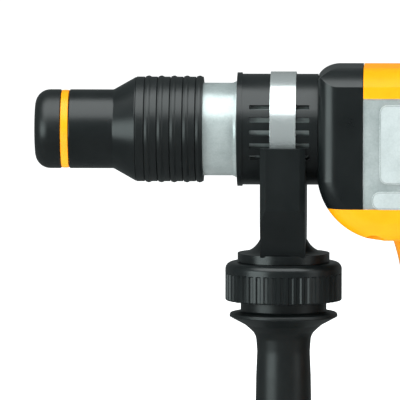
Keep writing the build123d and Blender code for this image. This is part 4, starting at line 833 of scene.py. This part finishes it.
@dataclass
class GearCase(Assembly):
    """The covers, the bare cast panels with their pads, and the motor housing's chin."""

    panel_half: float = 45.0
    pad_height: float = 1.25
    pad_edge: float = 1.15
    pad_corner: float = 5.0
    pad_bite: float = 0.5
    pad_segments: int = 4
    facing: float = 0.9
    upper_pad: tuple[float, float, float, float] = (219.5, 301.1, -32.1, 19.0)
    lower_pad: tuple[float, float, float, float] = (214.6, 311.7, -48.6, -37.1)
    motor_x: float = 279.7
    tube_radius: float = 46.0
    chin_bottom: float = -69.8
    root_bite: float = 1.0
    root_rise: float = 4.0
    root_drop: float = 30.0
    root_reach: float = 6.4
    root_curve: float = 1.6
    root_parts: int = 12
    root_columns: int = 14
    root_half_turn: float = 56.0
    root_limit: float = 60.0

    def pad(self, name: str, reach: tuple[float, float, float, float], side: int) -> Object:
        """Raises a pad with a broad rounded rim on one of the cast panels, coated with a lighter copy of
        the cast aluminium that paints a highlight on its face and rims.

        Args:
            name: the pad's name.
            reach: its left, right, low and high edges, in millimetres.
            side: -1 for the user's left, 1 for the right.

        Returns:
            The pad.
        """
        left, right, low, high = reach
        outline = rounded([(x, z, self.pad_corner) for x, z in
                           ((left, low), (left, high), (right, high), (right, low))], 10.0)
        face = side * (self.panel_half + self.pad_height)
        piece = Bench.slab(name, outline, side * (self.panel_half - self.pad_bite), face)
        Bench.pick(piece, lambda middle, normal: normal.y * side > self.facing)
        bpy.ops.mesh.bevel(offset=self.pad_edge * MM, segments=self.pad_segments, affect="EDGES")
        bpy.ops.object.mode_set(mode="OBJECT")
        self.fit(Bench.finish(piece, 0.0, 50.0), "machine", "cast_aluminium")
        # The pad gets the lighter copy of the cast aluminium, a painted highlight on its face and rims.
        self.paint.coat(piece, "cast_aluminium", "lit_cast_pad")
        return piece

    def root(self) -> Object:
        """Turns the concave root of the upright motor tube under the chin, sinking it in at both sides.

        Returns:
            The root.
        """
        inner = self.tube_radius - self.root_bite
        top = self.chin_bottom + self.root_rise
        outline = [(self.chin_bottom - self.root_drop - self.root_bite, inner)]
        for part in range(self.root_parts + 1):
            fall = 1.0 - part / self.root_parts
            outline.append((self.chin_bottom - self.root_drop * fall,
                            self.tube_radius + self.root_reach * (1.0 - fall) ** self.root_curve))
        outline += [(top, self.tube_radius + self.root_reach), (top, inner)]
        points = [Vector((self.motor_x - out, 0.0, along)) for along, out in outline]
        piece = Bench.chain("tube_root", points)
        bpy.ops.mesh.edge_face_add()
        centre = (self.motor_x * MM, 0.0, 0.0)
        half = math.radians(self.root_half_turn)
        bpy.ops.transform.rotate(value=-half, orient_axis="Z", center_override=centre)
        bpy.ops.mesh.spin(steps=2 * self.root_columns, angle=2.0 * half, center=centre,
                          axis=Turn.UPRIGHT.value)
        bpy.ops.mesh.select_all(action="SELECT")
        bpy.ops.mesh.remove_doubles(threshold=WELD)
        bpy.ops.mesh.normals_make_consistent(inside=False)
        bpy.ops.mesh.select_mode(type="VERT")
        bpy.ops.mesh.select_all(action="DESELECT")
        bpy.ops.object.mode_set(mode="OBJECT")
        turns = [math.atan2(vertex.co.y, self.motor_x * MM - vertex.co.x)
                 for vertex in piece.data.vertices]
        for column in range(-self.root_columns, self.root_columns + 1):
            turn = half * column / self.root_columns
            for vertex, own in zip(piece.data.vertices, turns):
                vertex.select = abs(own - turn) < half / self.root_columns / 2
            bpy.ops.object.mode_set(mode="EDIT")
            sink = self.root_reach * math.sin(math.pi / 2 * turn / half) ** 2
            share = 1.0 - sink / (self.tube_radius + self.root_reach)
            bpy.ops.transform.resize(value=(share, share, 1.0), center_override=centre)
            bpy.ops.mesh.select_all(action="DESELECT")
            bpy.ops.object.mode_set(mode="OBJECT")
        piece.visible_glossy = False
        return self.fit(Bench.finish(piece, 0.0, self.root_limit), "machine", "yellow_plastic")

    def build(self) -> None:
        """Builds the skins of the case."""
        self.root()
        for side, hand in ((-1, "left"), (1, "right")):
            self.pad(f"upper_pad_{hand}", self.upper_pad, side)
            self.pad(f"lower_pad_{hand}", self.lower_pad, side)
        self.soften("front_cover", "machine", "black_plastic", 0.4)
        self.soften("top_cover", "machine", "yellow_plastic", 0.3)
        self.soften("rear_cover", "machine", "black_plastic", 0.4)
        self.soften("gear_housing", "machine", "cast_aluminium", 0.6)
        housing = self.soften("motor_housing", "machine", "yellow_plastic", 0.3)
        housing.visible_glossy = False
        self.soften("motor_cap", "machine", "black_plastic", 0.4)


@dataclass
class RearHandle(Assembly):
    """The D-shaped rear handle with its grip, trigger, lock button and speed dial."""

    def build(self) -> None:
        """Builds the skins of the rear handle."""
        self.soften("handle_left_shell", "machine", "black_plastic", 0.5)
        self.soften("handle_right_shell", "machine", "black_plastic", 0.5)
        self.soften("handle_grip", "machine", "black_rubber", 0.7)
        self.soften("trigger", "trigger_rocker", "black_plastic", 0.4)
        self.soften("cord_inlet", "machine", "black_rubber", 0.3)


# ---------------------------------------------------------------- studio
@dataclass(frozen=True)
class Softbox:
    """One soft studio light."""

    name: str
    place: Colour
    width: float
    height: float
    radiance: float
    colour: Colour = (1.0, 1.0, 1.0)

    def hang(self, target: Vector) -> None:
        """Hangs the light, facing a point.

        Args:
            target: the point that it faces, in metres.
        """
        data = bpy.data.lights.new(self.name, "AREA")
        data.shape = "RECTANGLE"
        data.size = self.width
        data.size_y = self.height
        data.energy = self.radiance * math.pi * self.width * self.height
        data.color = self.colour
        light = bpy.data.objects.new(self.name, data)
        bpy.context.scene.collection.objects.link(light)
        light.location = self.place
        light.rotation_euler = (target - Vector(self.place)).to_track_quat("-Z", "Y").to_euler()


@dataclass
class Studio:
    """Pale floor, soft lights and the camera."""

    target: Colour = (0.1022, 0.0, -0.0464)
    eye_x: float = 0.26
    distance: float = 4.7
    elevation: float = 4.8
    frame_width: float = 0.2606
    sensor: float = 36.0
    floor_level: float = -0.2253
    floor_radius: float = 9.0
    floor_glow: float = 0.95
    room_light: float = 0.16
    view_limit: float = 60.0

    def floor(self) -> None:
        """Lays a pale round floor with a thin ring inset round its edge."""
        Bench.clear()
        bpy.ops.mesh.primitive_circle_add(vertices=96, radius=self.floor_radius, fill_type="NGON",
                                          location=(0.0, 0.0, self.floor_level))
        piece = bpy.context.object
        piece.name = "studio_floor"
        bpy.ops.object.mode_set(mode="EDIT")
        bpy.ops.mesh.inset(thickness=0.02)
        bpy.ops.object.mode_set(mode="OBJECT")
        bpy.ops.object.transform_apply(location=True, rotation=True, scale=True)
        graph = Graph("pale_floor")
        surface = graph.node("ShaderNodeBsdfPrincipled", {}, {
            "Base Color": (0.86, 0.86, 0.86, 1.0), "Roughness": 0.9, "Specular IOR Level": 0.1,
            "Emission Color": (1.0, 1.0, 1.0, 1.0), "Emission Strength": self.floor_glow})
        graph.close(surface)
        piece.data.materials.append(graph.material)
        piece.visible_glossy = False

    def world(self) -> None:
        """Fills the room with dim even light, and shows a white backdrop."""
        world = bpy.data.worlds.new("studio")
        bpy.context.scene.world = world
        world.use_nodes = True
        tree = world.node_tree
        tree.nodes.clear()
        seen = tree.nodes.new("ShaderNodeLightPath")
        dim = tree.nodes.new("ShaderNodeBackground")
        dim.inputs["Color"].default_value = (0.9, 1.0, 1.0, 1.0)
        dim.inputs["Strength"].default_value = self.room_light
        white = tree.nodes.new("ShaderNodeBackground")
        white.inputs["Color"].default_value = (1.0, 1.0, 1.0, 1.0)
        mix = tree.nodes.new("ShaderNodeMixShader")
        end = tree.nodes.new("ShaderNodeOutputWorld")
        tree.links.new(seen.outputs["Is Camera Ray"], mix.inputs[0])
        tree.links.new(dim.outputs[0], mix.inputs[1])
        tree.links.new(white.outputs[0], mix.inputs[2])
        tree.links.new(mix.outputs[0], end.inputs["Surface"])

    def lights(self) -> None:
        """Hangs the softboxes round the machine."""
        middle = Vector((0.12, 0.0, -0.03))
        for box in (
            Softbox("overhead", (0.12, -0.60, 1.35), 3.0, 1.7, 3.6, (0.94, 1.0, 1.0)),
            Softbox("left", (-1.20, -1.05, 0.02), 1.2, 0.9, 4.6, (0.86, 1.0, 0.99)),
            Softbox("right", (1.6, -0.8, 0.2), 0.7, 1.0, 1.2, (0.94, 1.0, 1.0)),
        ):
            box.hang(middle)

    def camera(self) -> None:
        """Places the camera low and almost square to the machine's side."""
        target = Vector(self.target)
        rise = math.radians(self.elevation)
        eye = Vector((self.eye_x, -self.distance * math.cos(rise),
                      target.z + self.distance * math.sin(rise)))
        data = bpy.data.cameras.new("camera")
        data.sensor_width = self.sensor
        data.lens = self.sensor * (target - eye).length / self.frame_width
        data.clip_end = self.view_limit
        camera = bpy.data.objects.new("camera", data)
        bpy.context.scene.collection.objects.link(camera)
        camera.location = eye
        camera.rotation_euler = (target - eye).to_track_quat("-Z", "Y").to_euler()
        bpy.context.scene.camera = camera

    def build(self) -> None:
        """Sets the studio up."""
        self.floor()
        self.world()
        self.lights()
        self.camera()
        bpy.context.scene.view_settings.view_transform = "Standard"


def main() -> None:
    """Builds the studio and every sub-assembly."""
    logging.basicConfig(level=logging.INFO, format="%(message)s")
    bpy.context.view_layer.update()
    Studio().build()
    paint = Paintshop()
    paint.coat_frame()
    for assembly in (Nose, Barrel, SideHandle, GearCase, RearHandle):
        assembly(paint).build()


if __name__ == "__main__":
    main()
